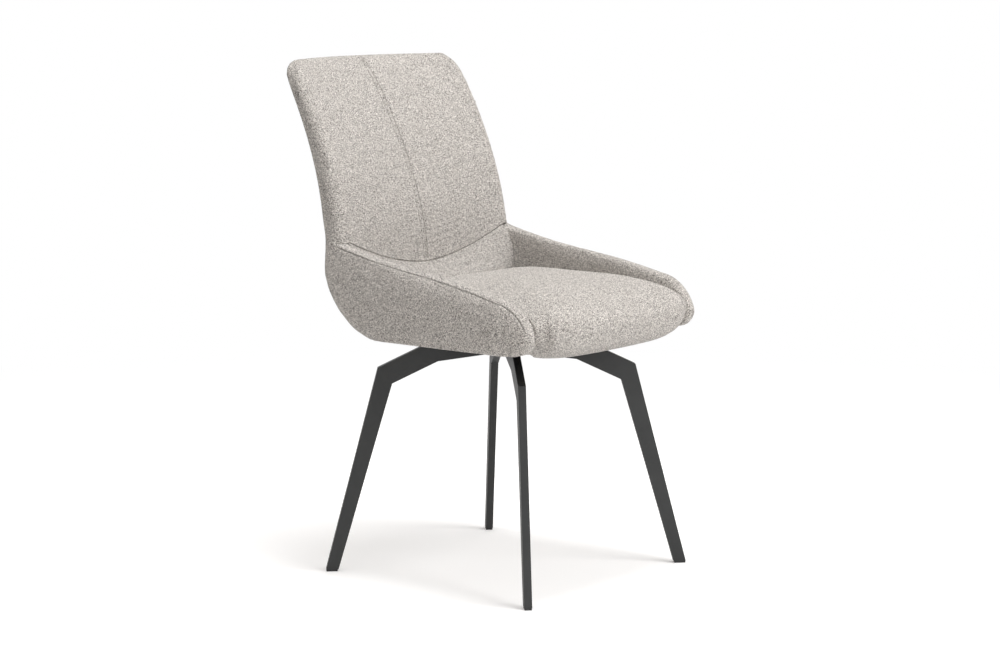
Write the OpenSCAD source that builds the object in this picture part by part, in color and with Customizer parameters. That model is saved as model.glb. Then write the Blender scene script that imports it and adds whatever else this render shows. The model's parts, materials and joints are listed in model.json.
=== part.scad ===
// Swivel dining chair: an upholstered bucket seat on a ball-bearing swivel and four bent flat legs.
// The chair faces -Y and +Z is up. The origin is on the floor, under the middle of the chair's plan.
// Left and right are the sitter's own, so left is +X.

/* [Placement] */
// How far the swivel axis lies in front of the middle of the plan
axis_forward = 47; // [0:1:100]

/* [Legs] */
// Thickness of the flat leg bar
leg_t = 12.7; // [8:0.1:20]
// Distance from the swivel axis to the outer edge of a foot
foot_reach = 305; // [260:1:340]
// Width of a leg at the foot
foot_w = 20.7; // [16:0.1:30]
// Distance from the swivel axis to the outer corner of the knee
knee_reach = 215.5; // [180:0.5:250]
// How far the outer corner of the knee lies below the arm's flat top
knee_drop = 43.5; // [34:0.5:86]
// Distance along the arm between the outer and the inner corner of the knee
knee_w = 23.5; // [16:0.5:36]
// How far the inner corner of the knee lies below the arm's flat top
knee_in_drop = 70; // [61:0.5:96]
// Distance from the swivel axis to the bend in the top edge of the arm
arm_bend_reach = 124; // [105:1:150]
// How much nearer the axis the bend in the lower edge of the arm is
arm_low_shift = 8; // [0:1:34]
// How far the bend in the lower edge of the arm lies below its flat top
arm_low_drop = 34; // [28:1:51]
// Depth of the arm at the hub
arm_hub_depth = 22; // [14:1:28]
// Depth of the slot in the foot that holds the glide's plug
plug_slot_depth = 16; // [10:1:24]

/* [Base] */
// Height of the flat top of the arms
base_top = 386; // [380:1:390]
// Outer radius of the hub tube
hub_r = 22; // [16:0.5:30]
// Bore radius of the hub tube
hub_bore_r = 14; // [8:0.5:15]
// Side of the square base plate
base_plate_w = 150; // [146:1:160]
// Thickness of the base plate
base_plate_t = 3; // [2:0.5:3.5]
// Thickness of a foot glide below the leg
glide_t = 3; // [2:0.5:6]
// How far a glide's edge stays inside the leg's outline
glide_inset = 0.6; // [0:0.1:2]
// Thickness of the glide's plug
plug_t = 5; // [3:0.5:8]
// Width of the glide's plug
plug_w = 10; // [6:0.5:12]
// Length of the glide's plug
plug_len = 14; // [8:1:15]

/* [Swivel] */
// Side of the square swivel plates
swivel_w = 140; // [134:1:144]
// Thickness of the swivel plates
swivel_t = 2; // [1.5:0.1:2.4]
// Corner radius of the plates
plate_corner_r = 12; // [6:1:16]
// Pitch radius of the ball ring
race_r = 38; // [34:0.5:42]
// Radius of a bearing ball
ball_r = 2.5; // [2:0.1:2.6]
// How far a ball stays from the face of the plate that its race stands on
race_stand = 1; // [0.8:0.1:1.4]
// Number of bearing balls
ball_count = 16; // [8:1:20]
// Radial width of a raised ball race
race_w = 9; // [7:0.5:11]
// Thickness of the ball cage
cage_t = 1.2; // [0.8:0.1:1.6]
// Radial width of the ball cage
cage_w = 10; // [8:0.5:12]
// Radius of the centre rivet
rivet_r = 9; // [7:0.5:11]
// Bore radius of the centre rivet
rivet_bore_r = 6; // [4:0.5:6.5]
// Radius of the rivet's flange
rivet_flange_r = 13; // [12:0.5:18]
// Thickness of the rivet's flange
rivet_flange_t = 1; // [0.6:0.1:1.4]
// Distance from the axis to a bolt of the bottom plate
base_bolt_reach = 58; // [54:0.5:60]
// Spacing of the top plate's bolts along X and along Y
seat_bolt_pitch = 104; // [102:1:112]
// Radius of a bolt's shank
bolt_r = 3; // [2.5:0.1:3.5]
// Radius of a bolt's button head
bolt_head_r = 5.2; // [4.5:0.1:6]
// Height of a bolt's button head
bolt_head_h = 2.6; // [2:0.1:3]
// Width across the flats of a nut
nut_w = 10; // [9:0.5:12]
// Height of a nut
nut_h = 5; // [4:0.5:6]

/* [Seat board] */
// Thickness of the seat board
board_t = 12; // [9:1:14]
// Half width of the seat board
board_half_w = 208; // [204:0.5:208.5]
// Distance from the axis to the board's front edge
board_front = 178; // [165:1:184]
// Corner radius of the board at the front
board_corner_r = 36; // [20:1:50]
// Corner radius of the board at the back
board_rear_r = 26; // [24:1:40]
// Radius of a T-nut's barrel
tnut_r = 4.2; // [3.8:0.1:5]
// Radius of a T-nut's flange
tnut_flange_r = 10; // [8:0.5:12]
// Thickness of a T-nut's flange
tnut_flange_t = 1.4; // [1:0.1:2]
// Thickness of the dust cover
dust_t = 0.8; // [0.5:0.1:1]
// Margin between the dust cover's edge and the board's edge
dust_margin = 16; // [8:1:30]

/* [Seat cushion] */
// How far the cushion's side stays inside the seat board's edge
cushion_side_inset = 10; // [8:0.5:16]
// Distance from the axis to the cushion's nose
cushion_nose = 251; // [240:1:262]
// Distance from the axis to the cushion's rear edge
cushion_rear = 127; // [118:1:132]
// Distance from the axis to the cushion's highest point, towards the front
cushion_middle = 60; // [40:1:80]
// Rise of the cushion's crown above the seat board's underside
cushion_crown_rise = 105; // [95:1:120]
// Fall of the top from the crown to the sides
cushion_crown = 27; // [18:1:36]
// Fall of the top towards the nose
cushion_front_fall = 8; // [0:1:16]
// How much further back the cushion's rear corners reach than its middle
cushion_rear_wing = 16; // [0:1:20]
// Rise of the cushion's edge at the back above the seat board's underside
cushion_rear_rise = 79; // [70:1:84]
// Rise of the widest line at the cushion's sides
cushion_side_rise = 70; // [60:1:74]
// Rise of the foremost line of the cushion's nose
cushion_nose_rise = 37; // [30:1:50]
// How far the roll under the nose reaches below the seat board
belly_sink = 16.5; // [12:0.5:20]
// How much higher the roll ends at its sides
belly_rise = 2.5; // [0:0.5:12]

/* [Wings] */
// How far the bucket's side stands out from the seat board's edge at the back corners
side_wall = 17; // [14:0.5:20]
// Bulge of the bucket's sides at mid height
side_bulge = 7; // [3:0.5:9]
// How much further out the wings stand at the front
wing_flare = 8; // [0:0.5:12]
// How far a wing's inner face at the back lies inside the seat board's edge
wing_in_inset = 6; // [5:0.5:7]
// Distance from the axis to a wing's nose
wing_nose = 227; // [220:1:232]
// Rise of the foremost point of a wing's nose above the seat board's underside
wing_nose_rise = 29; // [24:1:38]
// Depth of the rounding at the upper side of the nose
nose_top_run = 66; // [50:1:80]
// Depth of the rounding at the lower side of the nose
nose_low_run = 41; // [30:1:60]
// Rise of the crest where the nose rounding begins
crest_front_rise = 90; // [80:1:96]
// Rise of the crest at the backrest
crest_back_rise = 153; // [145:1:160]
// Swell of the crest line above its front half
crest_wave = 2.5; // [0:0.5:8]
// How far the nose turns in towards the cushion
nose_tuck = 8; // [0:0.5:10]
// Corner radius of the bucket's back corners, seen from above
corner_r = 34; // [33:0.5:44]
// Radius of the back's rear corners above the wings, seen from above
back_corner_r = 20; // [16:0.5:22]
// Height over which the rear corners change their radius
corner_blend_h = 90; // [60:1:140]
// Radius of the rim's rounding
rim_r = 12; // [8:0.5:13]

/* [Backrest] */
// Distance from the axis to the backrest's front face at the crease
back_reach = 172; // [165:1:180]
// Rise of the crease in the middle above the seat board's underside
crease_rise = 104; // [96:1:108]
// Rise of the top edge above the seat board's underside
back_top_rise = 448; // [420:1:480]
// How far the front face leans back at the top
back_lean = 140; // [110:1:160]
// Thickness of the backrest in the middle
back_t = 52; // [46:1:60]
// Thickness of the backrest at its sides
back_side_t = 46.5; // [40:1:52]
// Extra thickness of the backrest at its lower end
back_low_t = 8; // [4:0.5:12]
// How much narrower the back is at the top on each side
back_taper = 10; // [0:1:24]
// Hollow of the front face at the lower end
bow_low = 8; // [6:1:24]
// Extra hollow of the front face at the top
bow_top = 29; // [4:1:34]
// Radius of the top corners, seen from the front
top_corner_r = 34; // [20:1:60]
// Height of the front rounding of the top edge
top_round_h = 60; // [30:1:80]
// Depth of the front rounding of the top edge
top_round_front = 9; // [4:1:16]
// Depth of the back rounding of the top edge
top_round_back = 25; // [16:1:28]
// Radius of the front corners of the back, seen from above
front_corner_r = 18; // [10:1:24]
// Radius of the pad's lower edge at the crease
crease_r = 7; // [5:1:14]
// Depth of the channel along the centre seam
seam_depth = 2.4; // [1:0.1:4]
// Half width of the channel along the centre seam
seam_half_w = 9; // [6:0.5:14]

/* [Rear panel and back board] */
// Distance from the axis to the lowest line of the rear panel
heel_reach = 121; // [112:1:126]
// Rise of the line where the rear panel begins to roll under
heel_rise = 114; // [100:1:125]
// Thickness of the rear panel
panel_t = 10; // [7:0.5:12]
// How much narrower the back board is than the seat board on each side
back_board_inset = 43; // [36:1:68]
// Thickness of the back board
back_board_t = 12; // [9:0.5:14]
// Rise of the back board's upper edge above the seat board's underside
back_board_rise = 400; // [300:5:406]
// Distance from the middle plane to a strap
strap_x = 90; // [60:1:120]
// Width of a strap
strap_w = 30; // [20:1:40]
// Thickness of a strap
strap_t = 3; // [2:0.5:3.5]
// Length of a strap's foot on the seat board
strap_foot = 52; // [40:1:70]

/* [Wing frames] */
// Thickness of a wing frame
frame_t = 8; // [6:0.5:8]
// How far a wing frame's edge stays below the crest
frame_inset = 24; // [20:1:34]
// Distance from the axis to a wing frame's front end
frame_front = 188; // [170:1:192]
// Distance from the axis to a wing frame's rear end
frame_rear = 96; // [60:1:98]

/* [Screws] */
// Radius of a screw's shank
screw_r = 2; // [1.5:0.1:2.5]
// Radius of a screw's head
screw_head_r = 4; // [3.5:0.1:5]
// Height of a strap screw's countersunk head
screw_head_h = 2; // [1.2:0.1:2.4]
// Length of a wing frame screw
wing_screw_len = 38; // [25:1:45]
// Number of screws in each wing frame
wing_screw_count = 3; // [2:1:5]
// Distance from the first to the last screw in each wing frame
wing_screw_run = 180; // [100:1:200]

/* [Clearances] */
// Gap between soft pieces
soft_gap = 0.4; // [0.3:0.05:0.8]
// Gap between a rigid piece and what fits round it
fit_gap = 0.3; // [0.2:0.05:0.5]
// Radial clearance of a turning fit
turn_gap = 0.05; // [0.02:0.01:0.1]
// Radial clearance of a bolt in its hole
bolt_gap = 0.3; // [0.1:0.05:0.5]

/* [Hidden] */

quarter_turn = 90;
// How far a cut runs past the face it opens
over = 2;
// Smoothness of round rigid parts
round_fn = 64;

// Places of the leg's inner corners, heights of all its corners, and the seat board on the swivel
knee_in_reach = knee_reach - knee_w;
arm_low_reach = arm_bend_reach - arm_low_shift;
knee_h = base_top - knee_drop;
knee_in_h = base_top - knee_in_drop;
arm_low_h = base_top - arm_low_drop;
arm_hub_h = base_top - arm_hub_depth;
swivel_stack = 2 * (swivel_t + race_stand + ball_r);
board_h = base_top + base_plate_t + swivel_stack;

// Half widths that are set from the seat board
cushion_half_w = board_half_w - cushion_side_inset;
wing_in = board_half_w - wing_in_inset;
side_half_w = board_half_w + side_wall;
back_board_half_w = board_half_w - back_board_inset;

// Heights above the floor of the lines that are set from the seat board
cushion_crown_h = board_h + cushion_crown_rise;
cushion_rear_h = board_h + cushion_rear_rise;
cushion_side_h = board_h + cushion_side_rise;
cushion_nose_h = board_h + cushion_nose_rise;
belly_h = board_h - belly_sink;
wing_nose_h = board_h + wing_nose_rise;
crest_front_h = board_h + crest_front_rise;
crest_back_h = board_h + crest_back_rise;
crease_h = board_h + crease_rise;
back_top = board_h + back_top_rise;
heel_top = board_h + heel_rise;
back_board_high = board_h + back_board_rise;

// Levels of the swivel, from the base upwards
swivel_low = base_top + base_plate_t;
swivel_high = board_h;
low_plate_top = swivel_low + swivel_t;
high_plate_low = swivel_high - swivel_t;
ball_h = (low_plate_top + high_plate_low) / 2;
board_top = board_h + board_t;
board_rear = heel_reach - fit_gap;
// Share of a ball's radius by which its race rises round it
race_rise_share = 0.35;
bolt_below = nut_h + bolt_gap;

// Power of the back's lean along its height, and of its extra thickness
lean_power_share = 1.75;
low_power_share = 3;
// Power of the heel's roll, and what is left of the rear panel's crown at its lowest line
heel_power_share = 1.58;
heel_crown_share = 0.2;
// Power of the crease's smile
smile_power_share = 1.75;
// Power of the nose's rounding at the wings' crest
nose_power_share = 1.7;
// Powers of the cushion's plan at the front and at the back, of its upper edge and of its roll
plan_power_share = 8;
rear_power_share = 20;
cushion_top_power_share = 6;
cushion_roll_power_share = 8.5;
// Shares of the way round the cushion where its rear corners are reached and its nose begins
rear_corner_share = 0.7;
nose_begin_share = 0.1;
nose_end_share = 0.95;
// Share of the sideways fall of the crown that the nose loses
nose_crown_share = 0.5;
// Largest share of the back's thickness that its front corner takes, the share of what is left that
// its rear corner takes, and the rear panel's share of that corner at the top edge
front_corner_share = 0.45;
rear_room_share = 0.95;
panel_thin_share = 0.5;
// Share of a wing's height that the rounding of its rim may take
rim_share = 0.45;
// What is left of the rim's rounding where the back stands on the wing, and where it begins to fade
rim_rear_share = 0.35;
rim_fade_share = 0.7;
// Crowding of the wing's stations towards its nose
station_power_share = 1.7;
nose_start_share = 0.002;
// Places of the lumbar band: its lower edge, how far its top stands back, and the bend of its cove
band_low_share = 0.42;
band_back_share = 0.4;
cove_mid_share = 0.45;
cove_mid_rise_share = 0.2;
cove_end_rise_share = 0.65;
// Run of a strap's thickness along Y where the strap slants most
strap_slant_share = 1.6;
// Share of the way along the screws of a wing frame that lies at their middle
wing_screw_middle_share = 0.5;
// Small end of a screw's or bolt's head
head_share = 0.7;
// Places of the screws along a strap's foot and along its upright part
foot_screw_shares = [0.25, 0.7];
upright_screw_shares = [0.35, 0.8];
// Share of the board's thickness that a strap screw reaches into
bite_share = 0.8;

// Small helpers
function mix(a, b, t) = a + (b - a) * t;
function clamp(t) = min(1, max(0, t));
function ease(t) = let (c = clamp(t)) c * c * (3 - 2 * c);
// Share by which a quarter round has fallen in at a share t of its run
function round_off(t, power = 2) = 1 - pow(1 - pow(clamp(t), power), 1 / power);
function reversed(list) = [for (i = [len(list) - 1:-1:0]) list[i]];
function mirrored_x(p) = [-p[0], p[1], p[2]];

function middle(ring) = [for (k = [0:2]) sum_of(ring, k) / len(ring)];
function sum_of(ring, k, i = 0) = i == len(ring) ? 0 : ring[i][k] + sum_of(ring, k, i + 1);

// Closed solid through rings of equal length. Each ring goes out along one side and back along the
// other, so that point j faces point n - 1 - j and the ends close as strips. Round rings close as fans.
module skin(rings, flip = false, fan = false) {
    n = len(rings[0]);
    m = len(rings);
    points = concat([for (ring = rings) each ring], [middle(rings[0]), middle(rings[m - 1])]);
    sides = [for (i = [0:m - 2], j = [0:n - 1])
        let (k = (j + 1) % n, a = i * n)
        each [[a + j, a + k, a + n + k], [a + j, a + n + k, a + n + j]]];
    strip = [for (j = [0:n / 2 - 2]) each j < n / 4
        ? [[j, n - 1 - j, n - 2 - j], [j, n - 2 - j, j + 1]]
        : [[j, n - 1 - j, j + 1], [n - 1 - j, n - 2 - j, j + 1]]];
    first = fan ? [for (j = [0:n - 1]) [(j + 1) % n, j, m * n]] : strip;
    last = fan ? [for (j = [0:n - 1]) [(m - 1) * n + j, (m - 1) * n + (j + 1) % n, m * n + 1]]
        : [for (f = first) [f[2] + (m - 1) * n, f[1] + (m - 1) * n, f[0] + (m - 1) * n]];
    faces = concat(sides, first, last);
    polyhedron(points = fan ? points : [for (ring = rings) each ring],
        faces = flip ? [for (f = faces) reversed(f)] : faces);
}

// Moves a piece from the swivel axis to the chair's frame
module placed() {
    translate([0, -axis_forward, 0]) children();
}

// Envelope of the backrest, measured from the swivel axis

function back_share(z) = clamp((z - crease_h) / (back_top - crease_h));
function top_share(z, run) = (z - (back_top - run)) / run;
function back_w(z) = side_half_w - back_taper * back_share(z)
    - top_corner_r * round_off(top_share(z, top_corner_r));
function bow(z) = bow_low + bow_top * back_share(z);
function front_mid(z) = back_reach + back_lean * pow(back_share(z), lean_power_share);
function front_y(x, z) = front_mid(z) - bow(z) * pow(x / back_w(z), 2)
    + top_round_front * round_off(top_share(z, top_round_h));
function low_extra(z) = back_low_t * pow(1 - back_share(z), low_power_share);
// The back face stays straight below the heel's beginning, where the roll takes over
function rear_side(z) = let (u = max(z, heel_top))
    front_mid(u) - bow(u) + back_side_t + low_extra(u)
    - top_round_back * round_off(top_share(z, top_round_h));
function rear_crown(z) = let (u = max(z, heel_top)) bow(u) + back_t - back_side_t;
// Thickness of the back at its sides, and the radii of its corners within it
function side_depth(z) = let (u = max(z, heel_top))
    back_side_t + low_extra(u) - (top_round_back + top_round_front) * round_off(top_share(u, top_round_h));
function front_corner_at(z) = min(front_corner_r, side_depth(z) * front_corner_share);
// Where the front corner meets the side
function front_end_y(z) = let (r = front_corner_at(z)) front_y(back_w(z) - r, z) + r;
// Roll of the heel: reach and height at a share a of the quarter turn, t inside the outer face
function heel_run(t) = rear_side(heel_top) - heel_reach - t;
function heel_drop(t) = heel_top - board_h - t;
function heel_y(z, t) = heel_reach + heel_run(t)
    * pow(max(0, 1 - pow(clamp((heel_top - z) / heel_drop(t)), heel_power_share)), 1 / heel_power_share);
// Back face at the side, t inside, at height z
function back_edge_y(z, t) = z < heel_top ? heel_y(z, t) : rear_side(z) - t;
// Share of the crown that is left at height z in the heel
function crown_left(z) = mix(heel_crown_share, 1, clamp((z - board_h) / (heel_top - board_h)));
function rear_y(x, z, t = 0) = back_edge_y(z, t)
    + rear_crown(z) * crown_left(z) * (1 - pow(x / corner_mid_x(z), 2));
// Width of the outer face at the back corners
function corner_x(z) = z >= crest_back_h ? back_w(z)
    : side_half_w + side_bulge * sin(180 * clamp((z - board_h) / (crest_back_h - board_h)));
function corner_at(z) = min(mix(corner_r, back_corner_r, ease((z - heel_top) / corner_blend_h)),
    z < crest_back_h ? corner_r : (rear_side(z) - front_end_y(z)) * rear_room_share);
function corner_mid_x(z) = corner_x(z) - corner_at(z);
function corner_mid_y(z) = back_edge_y(z, 0) - corner_at(z);
function corner_point(z, a, t) = [
    corner_mid_x(z) + (corner_at(z) - t) * cos(a),
    corner_mid_y(z) + (corner_at(z) - t) * sin(a),
    z];
// Angle, from the side towards the back, where the rear panel's seam runs
seam_angle = 45;
seam_gap_angle = 1;
// Crease under the backrest pad
function crease_z(x) = crease_h
    + (crest_back_h - crease_h) * pow(min(1, abs(x) / wing_in), smile_power_share);
// Thickness of the rear panel, drawn down where the top edge is thin
function panel_at(z) = mix(panel_t, corner_at(z) * panel_thin_share, ease(top_share(z, top_round_h)));

// Rear panel: rows from the heel's lowest line to the top edge. The back board and the pad share its
// rows and columns, so that their faces run side by side.

panel_angle = seam_angle + seam_gap_angle;
corner_angles = [panel_angle, (90 + panel_angle) / 2, 90];
column_shares = [-1, -0.8, -0.6, -0.4, -0.2, 0, 0.2, 0.4, 0.6, 0.8, 1];
heel_steps = 8;
low_row_count = 11;
high_row_count = 6;
low_rows = [for (i = [0:low_row_count]) mix(heel_top, back_board_high, i / low_row_count)];
high_rows = [for (i = [1:high_row_count])
    mix(back_board_high, back_top, sin(quarter_turn * i / high_row_count))];
function column_x(share, z) = share * min(back_board_half_w, corner_mid_x(z) - 2 * over);
function heel_z(turn, t) = heel_top - heel_drop(t) * pow(sin(turn), 2 / heel_power_share);
// Radius of a corner t inside the outer face, which shrinks where the heel rolls under
function inner_r(z, t) = max(over, min(corner_at(z) - t, back_edge_y(z, t) - corner_mid_y(z)));
function panel_corner(z, a, t) = let (r = t > 0 ? inner_r(z, t) : corner_at(z))
    [corner_mid_x(z) + r * cos(a), back_edge_y(z, t) - r * (1 - sin(a)), z];
function panel_row(z, t) = concat(
    [for (a = corner_angles) mirrored_x(panel_corner(z, a, t))],
    [for (share = column_shares) let (x = column_x(share, z)) [x, rear_y(x, z, t), z]],
    [for (a = reversed(corner_angles)) panel_corner(z, a, t)]);
panel_rings = concat(
    [for (i = [0:heel_steps - 1]) let (turn = quarter_turn * (1 - i / heel_steps))
        concat(panel_row(heel_z(turn, 0), 0), reversed(panel_row(heel_z(turn, panel_t), panel_t)))],
    [for (z = concat(low_rows, high_rows))
        concat(panel_row(z, 0), reversed(panel_row(z, panel_at(z))))]);

module back_panel() {
    color([0.62, 0.59, 0.56]) placed() skin(panel_rings);
}

// Moulded back board, between the rear panel and the pad

function board_back_y(x, z) = rear_y(x, z, panel_at(z)) - soft_gap;
function board_front_y(x, z) = board_back_y(x, z) - back_board_t;
function board_row(z) = concat(
    [for (share = column_shares) let (x = share * back_board_half_w) [x, board_back_y(x, z), z]],
    [for (share = reversed(column_shares)) let (x = share * back_board_half_w)
        [x, board_front_y(x, z), z]]);
// Rows of the heel that the board reaches down over
board_heel_rows = [for (i = [heel_steps / 2:heel_steps - 1])
    heel_z(quarter_turn * (1 - i / heel_steps), panel_t)];
back_board_low = board_heel_rows[0];

module back_board_blank() {
    skin([for (z = concat(board_heel_rows, low_rows)) board_row(z)]);
}

module back_board() {
    color([0.80, 0.66, 0.46]) placed() difference() {
        back_board_blank();
        strap_screw_places() translate([0, 0, -back_board_t])
            cylinder(r = screw_r + turn_gap, h = 2 * back_board_t, $fn = round_fn);
    }
}

// Backrest pad: rows from the crease to the top edge

corner_steps = 3;
// Shares of the way from the crease to the first level row, and the level rows
low_level_shares = [0, 0.012, 0.04, 0.1, 0.21, 0.45, 0.72];
first_level = 2;
pad_level_rows = concat(
    [for (i = [first_level:low_row_count - 1]) low_rows[i]],
    [back_board_high + soft_gap, back_board_high + 2 * soft_gap], high_rows);
// Channel along the centre seam
function seam_dip(x) = seam_depth * exp(-pow(x / (seam_half_w / 2), 2));
pad_half_w = back_w(crest_back_h) - front_corner_r;
pad_side_share = wing_in / pad_half_w;
half_column_shares = [0.02, 0.05, 0.2, 0.4, 0.6, 0.82, 0.88, pad_side_share];
pad_column_shares = concat([for (share = reversed(half_column_shares)) -share], [0], half_column_shares);
function pad_edge_y(x, z) = crease_r * round_off(1 - (z - crease_z(x)) / crease_r);
function pad_front_at(x, z) =
    [x, front_y(x, z) + seam_dip(x) * (1 - pow(back_share(z), low_power_share)) + pad_edge_y(x, z), z];
function pad_front_corner(z, a) = let (r = front_corner_at(z), w = back_w(z) - r)
    [w + r * cos(a),
        min(front_end_y(z) + pad_edge_y(side_half_w, z), corner_mid_y(z) - over / 2) + r * sin(a), z];
pad_outer_angles = [0, 22, seam_angle - seam_gap_angle];
pad_inner_angles = [seam_angle - seam_gap_angle, corner_angles[1]];
// The pad's back follows the rear panel, with a rebate that holds the back board
function pad_rear_side(z_at, z) = let (t = panel_at(z) + soft_gap, x = column_x(1, z) + over / 2) concat(
    [for (a = pad_outer_angles) corner_point(z, a, 0)],
    [for (a = pad_inner_angles) corner_point(z, a, t)],
    [corner_point(z_at(corner_mid_x(z)), 90, t), [x, rear_y(x, z_at(x), t), z_at(x)]]);
function pad_rear_at(share, z) = let (x = column_x(share, z) + share * soft_gap,
        deep = z < back_board_high + 1.5 * soft_gap ? back_board_t + 2 * soft_gap : 0)
    [x, rear_y(x, z, panel_at(z) + soft_gap) - deep, z];
// One ring: across the front, round the corner and back along the rear. Below the level rows the
// height follows the crease.
function pad_ring(z_at, side_z) = concat(
    [for (i = [0:corner_steps]) mirrored_x(pad_front_corner(side_z, -quarter_turn * i / corner_steps))],
    [for (share = pad_column_shares)
        let (x = share * (back_w(side_z) - front_corner_at(side_z))) pad_front_at(x, z_at(x))],
    [for (i = [corner_steps:-1:0]) pad_front_corner(side_z, -quarter_turn * i / corner_steps)],
    pad_rear_side(z_at, side_z),
    [for (share = reversed(column_shares)) pad_rear_at(share, z_at(column_x(share, side_z)))],
    [for (p = reversed(pad_rear_side(z_at, side_z))) mirrored_x(p)]);
function low_level(v) = function (x) mix(crease_z(x) + soft_gap, low_rows[first_level], v);
function level(z) = function (x) z;
pad_rings = concat(
    [for (v = low_level_shares) let (f = low_level(v)) pad_ring(f, f(side_half_w))],
    [for (z = pad_level_rows) pad_ring(level(z), z)]);

module backrest_pad() {
    color([0.79, 0.76, 0.73]) placed() skin(pad_rings, true);
}

// Wings: stations along the side wall, from the nose round to the rear panel's seam

function crest_share(y) = clamp((y + wing_nose - nose_top_run) / (wing_nose - nose_top_run + back_reach));
function nose_share(y, run) = (run - wing_nose - y) / run;
function crest_z(y) = y < nose_top_run - wing_nose
    ? mix(crest_front_h, wing_nose_h, round_off(nose_share(y, nose_top_run), nose_power_share))
    : let (w = crest_share(y)) mix(crest_front_h, crest_back_h, w) + crest_wave * sin(360 * w);
function wing_low_z(y) = mix(board_h, wing_nose_h, round_off(nose_share(y, nose_low_run)));
function wing_front_share(y) = clamp((corner_mid_y(heel_top) - y) / (corner_mid_y(heel_top) + wing_nose));
function flare(y) = wing_flare * ease(wing_front_share(y));
function tuck(y) = nose_tuck * ease(nose_share(y, nose_top_run));
// Outer and inner faces of the side wall
function wing_out_x(y, q) = side_half_w + side_bulge * sin(180 * clamp(q)) + flare(y) - tuck(y);
function wing_in_x(y) = wing_in + flare(y) / 2 - tuck(y) / 2;
// Thinning of the wall at the nose's tip
function nose_thin(y) = 1 - round_off(1 - (y + wing_nose) / (2 * rim_r));

wing_straight = 22;
wing_turn = 4;
// Places of the stations along the straight wall, closer together at the nose
station_shares = [for (i = [0:wing_straight]) pow(i / wing_straight, station_power_share)];
function wing_point(s, a, d, z, q, y_top) =
    let (y = y_top < 0 ? y_top : y_top * corner_mid_y(z) / corner_mid_y(heel_top),
        out = wing_out_x(y_top, q), in = wing_in_x(y_top), mid = (out + in) / 2,
        k = nose_thin(y_top), x = mid + mix(out - mid, in - mid, d) * k)
    a == 0 ? [x, y, z]
        : corner_point(z, a, mix(corner_x(z) - wing_in, panel_t, a / seam_angle) * d);
// A ring goes up the outer face, over the rim and down the inner face
outer_q_shares = [0, 0.12, 0.3, 0.5, 0.68, 0.82];
rim_angles = [0, 30, 60, 90, 120, 150, 180];
function wing_ring(s, a) =
    let (y = mix(-wing_nose, corner_mid_y(heel_top), s), zt = crest_z(y), zb = wing_low_z(y),
        h = zt - zb,
        r = min(rim_r, h * rim_share)
            * mix(1, rim_rear_share, ease((s - rim_fade_share) / (1 - rim_fade_share))))
    concat(
        [wing_point(s, a, 0.5, zb, 0, y)],
        [for (q = outer_q_shares) wing_point(s, a, 0, zb + q * (h - r), q * (h - r) / h, y)],
        [for (c = rim_angles) let (z = zt - r + r * sin(c))
            wing_point(s, a, (1 - cos(c)) / 2, z, (z - zb) / h, y)],
        [for (q = reversed(outer_q_shares)) wing_point(s, a, 1, zb + q * (h - r), q * (h - r) / h, y)]);
wing_rings = concat(
    [for (i = [0:wing_straight]) wing_ring(max(nose_start_share, station_shares[i]), 0)],
    [for (i = [1:wing_turn]) wing_ring(1, seam_angle * i / wing_turn)]);

module wing_blank() {
    skin(wing_rings);
}

module wing() {
    difference() {
        wing_blank();
        frame_blank(soft_gap);
        board_blank(soft_gap, over);
    }
}

module left_wing() {
    color([0.66, 0.62, 0.59]) placed() wing();
}

module right_wing() {
    color([0.66, 0.62, 0.59]) placed() mirror([1, 0, 0]) wing();
}

// Lumbar band: sections across the seat, from one wing to the other

band_half_w = wing_in - soft_gap;
band_xs = [for (share = pad_column_shares)
    abs(share) < pad_side_share ? share * pad_half_w : sign(share) * band_half_w];
band_low = mix(board_top, heel_top, band_low_share);
function cushion_rear_y(x) = cushion_rear + cushion_rear_wing * pow(x / cushion_half_w, 2);
cushion_rear_run = cushion_rear + cushion_middle;
function side_part(x) = pow(x / wing_in, 2);
function band_front_z(x) = cushion_rear_h + mix(crease_r / 2, 0, side_part(x));
// The band's back stays in front of the straps
function band_back_y(x, z) = min(
    board_front_y(max(abs(x), strap_x + strap_w / 2), z) - strap_t * strap_slant_share - 2 * fit_gap,
    corner_mid_y(z) - soft_gap + max(0, corner_mid_x(z) - over - abs(x)));
function bezier(a, b, c, t) = mix(mix(a, b, t), mix(b, c, t), t);
cove_steps = 6;
function band_section(x) =
    let (zt = crease_z(x), zf = band_front_z(x), yt = front_y(x, zt) + crease_r * band_back_share,
        yf = cushion_rear_y(x) + soft_gap, up = [yt, zt], down = [yf, zf],
        bend = [mix(yt, yf, mix(cove_mid_share, 1, side_part(x))),
            mix(zf, zt, mix(cove_mid_rise_share, cove_end_rise_share, side_part(x)))])
    concat(
        [for (i = [0:cove_steps]) let (p = bezier(up, bend, down, i / cove_steps)) [x, p[0], p[1]]],
        [for (s = [1, 2]) [x, yf, mix(zf, band_low, s / 2)]],
        [for (i = [cove_steps + 2:-1:0]) let (z = mix(zt, band_low, i / (cove_steps + 2)))
            [x, max(band_back_y(x, z), yf + over), z]]);

module lumbar_band() {
    color([0.74, 0.71, 0.68]) placed()
        skin([for (x = band_xs) band_section(x)], true);
}

// Seat cushion: rings from the middle of the underside, over the roll, to the crown

cushion_points = 48;
cushion_front_run = cushion_nose - cushion_middle;
function plan_r(a) = let (front = sin(a) < 0, b = front ? cushion_front_run : cushion_rear_run,
        n = front ? plan_power_share : rear_power_share)
    pow(pow(abs(cos(a)) / cushion_half_w, n) + pow(abs(sin(a)) / b, n), -1 / n);
// How far a point of the edge belongs to the nose
function nose_part(a) = ease((-sin(a) - nose_begin_share) / (nose_end_share - nose_begin_share));
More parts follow.
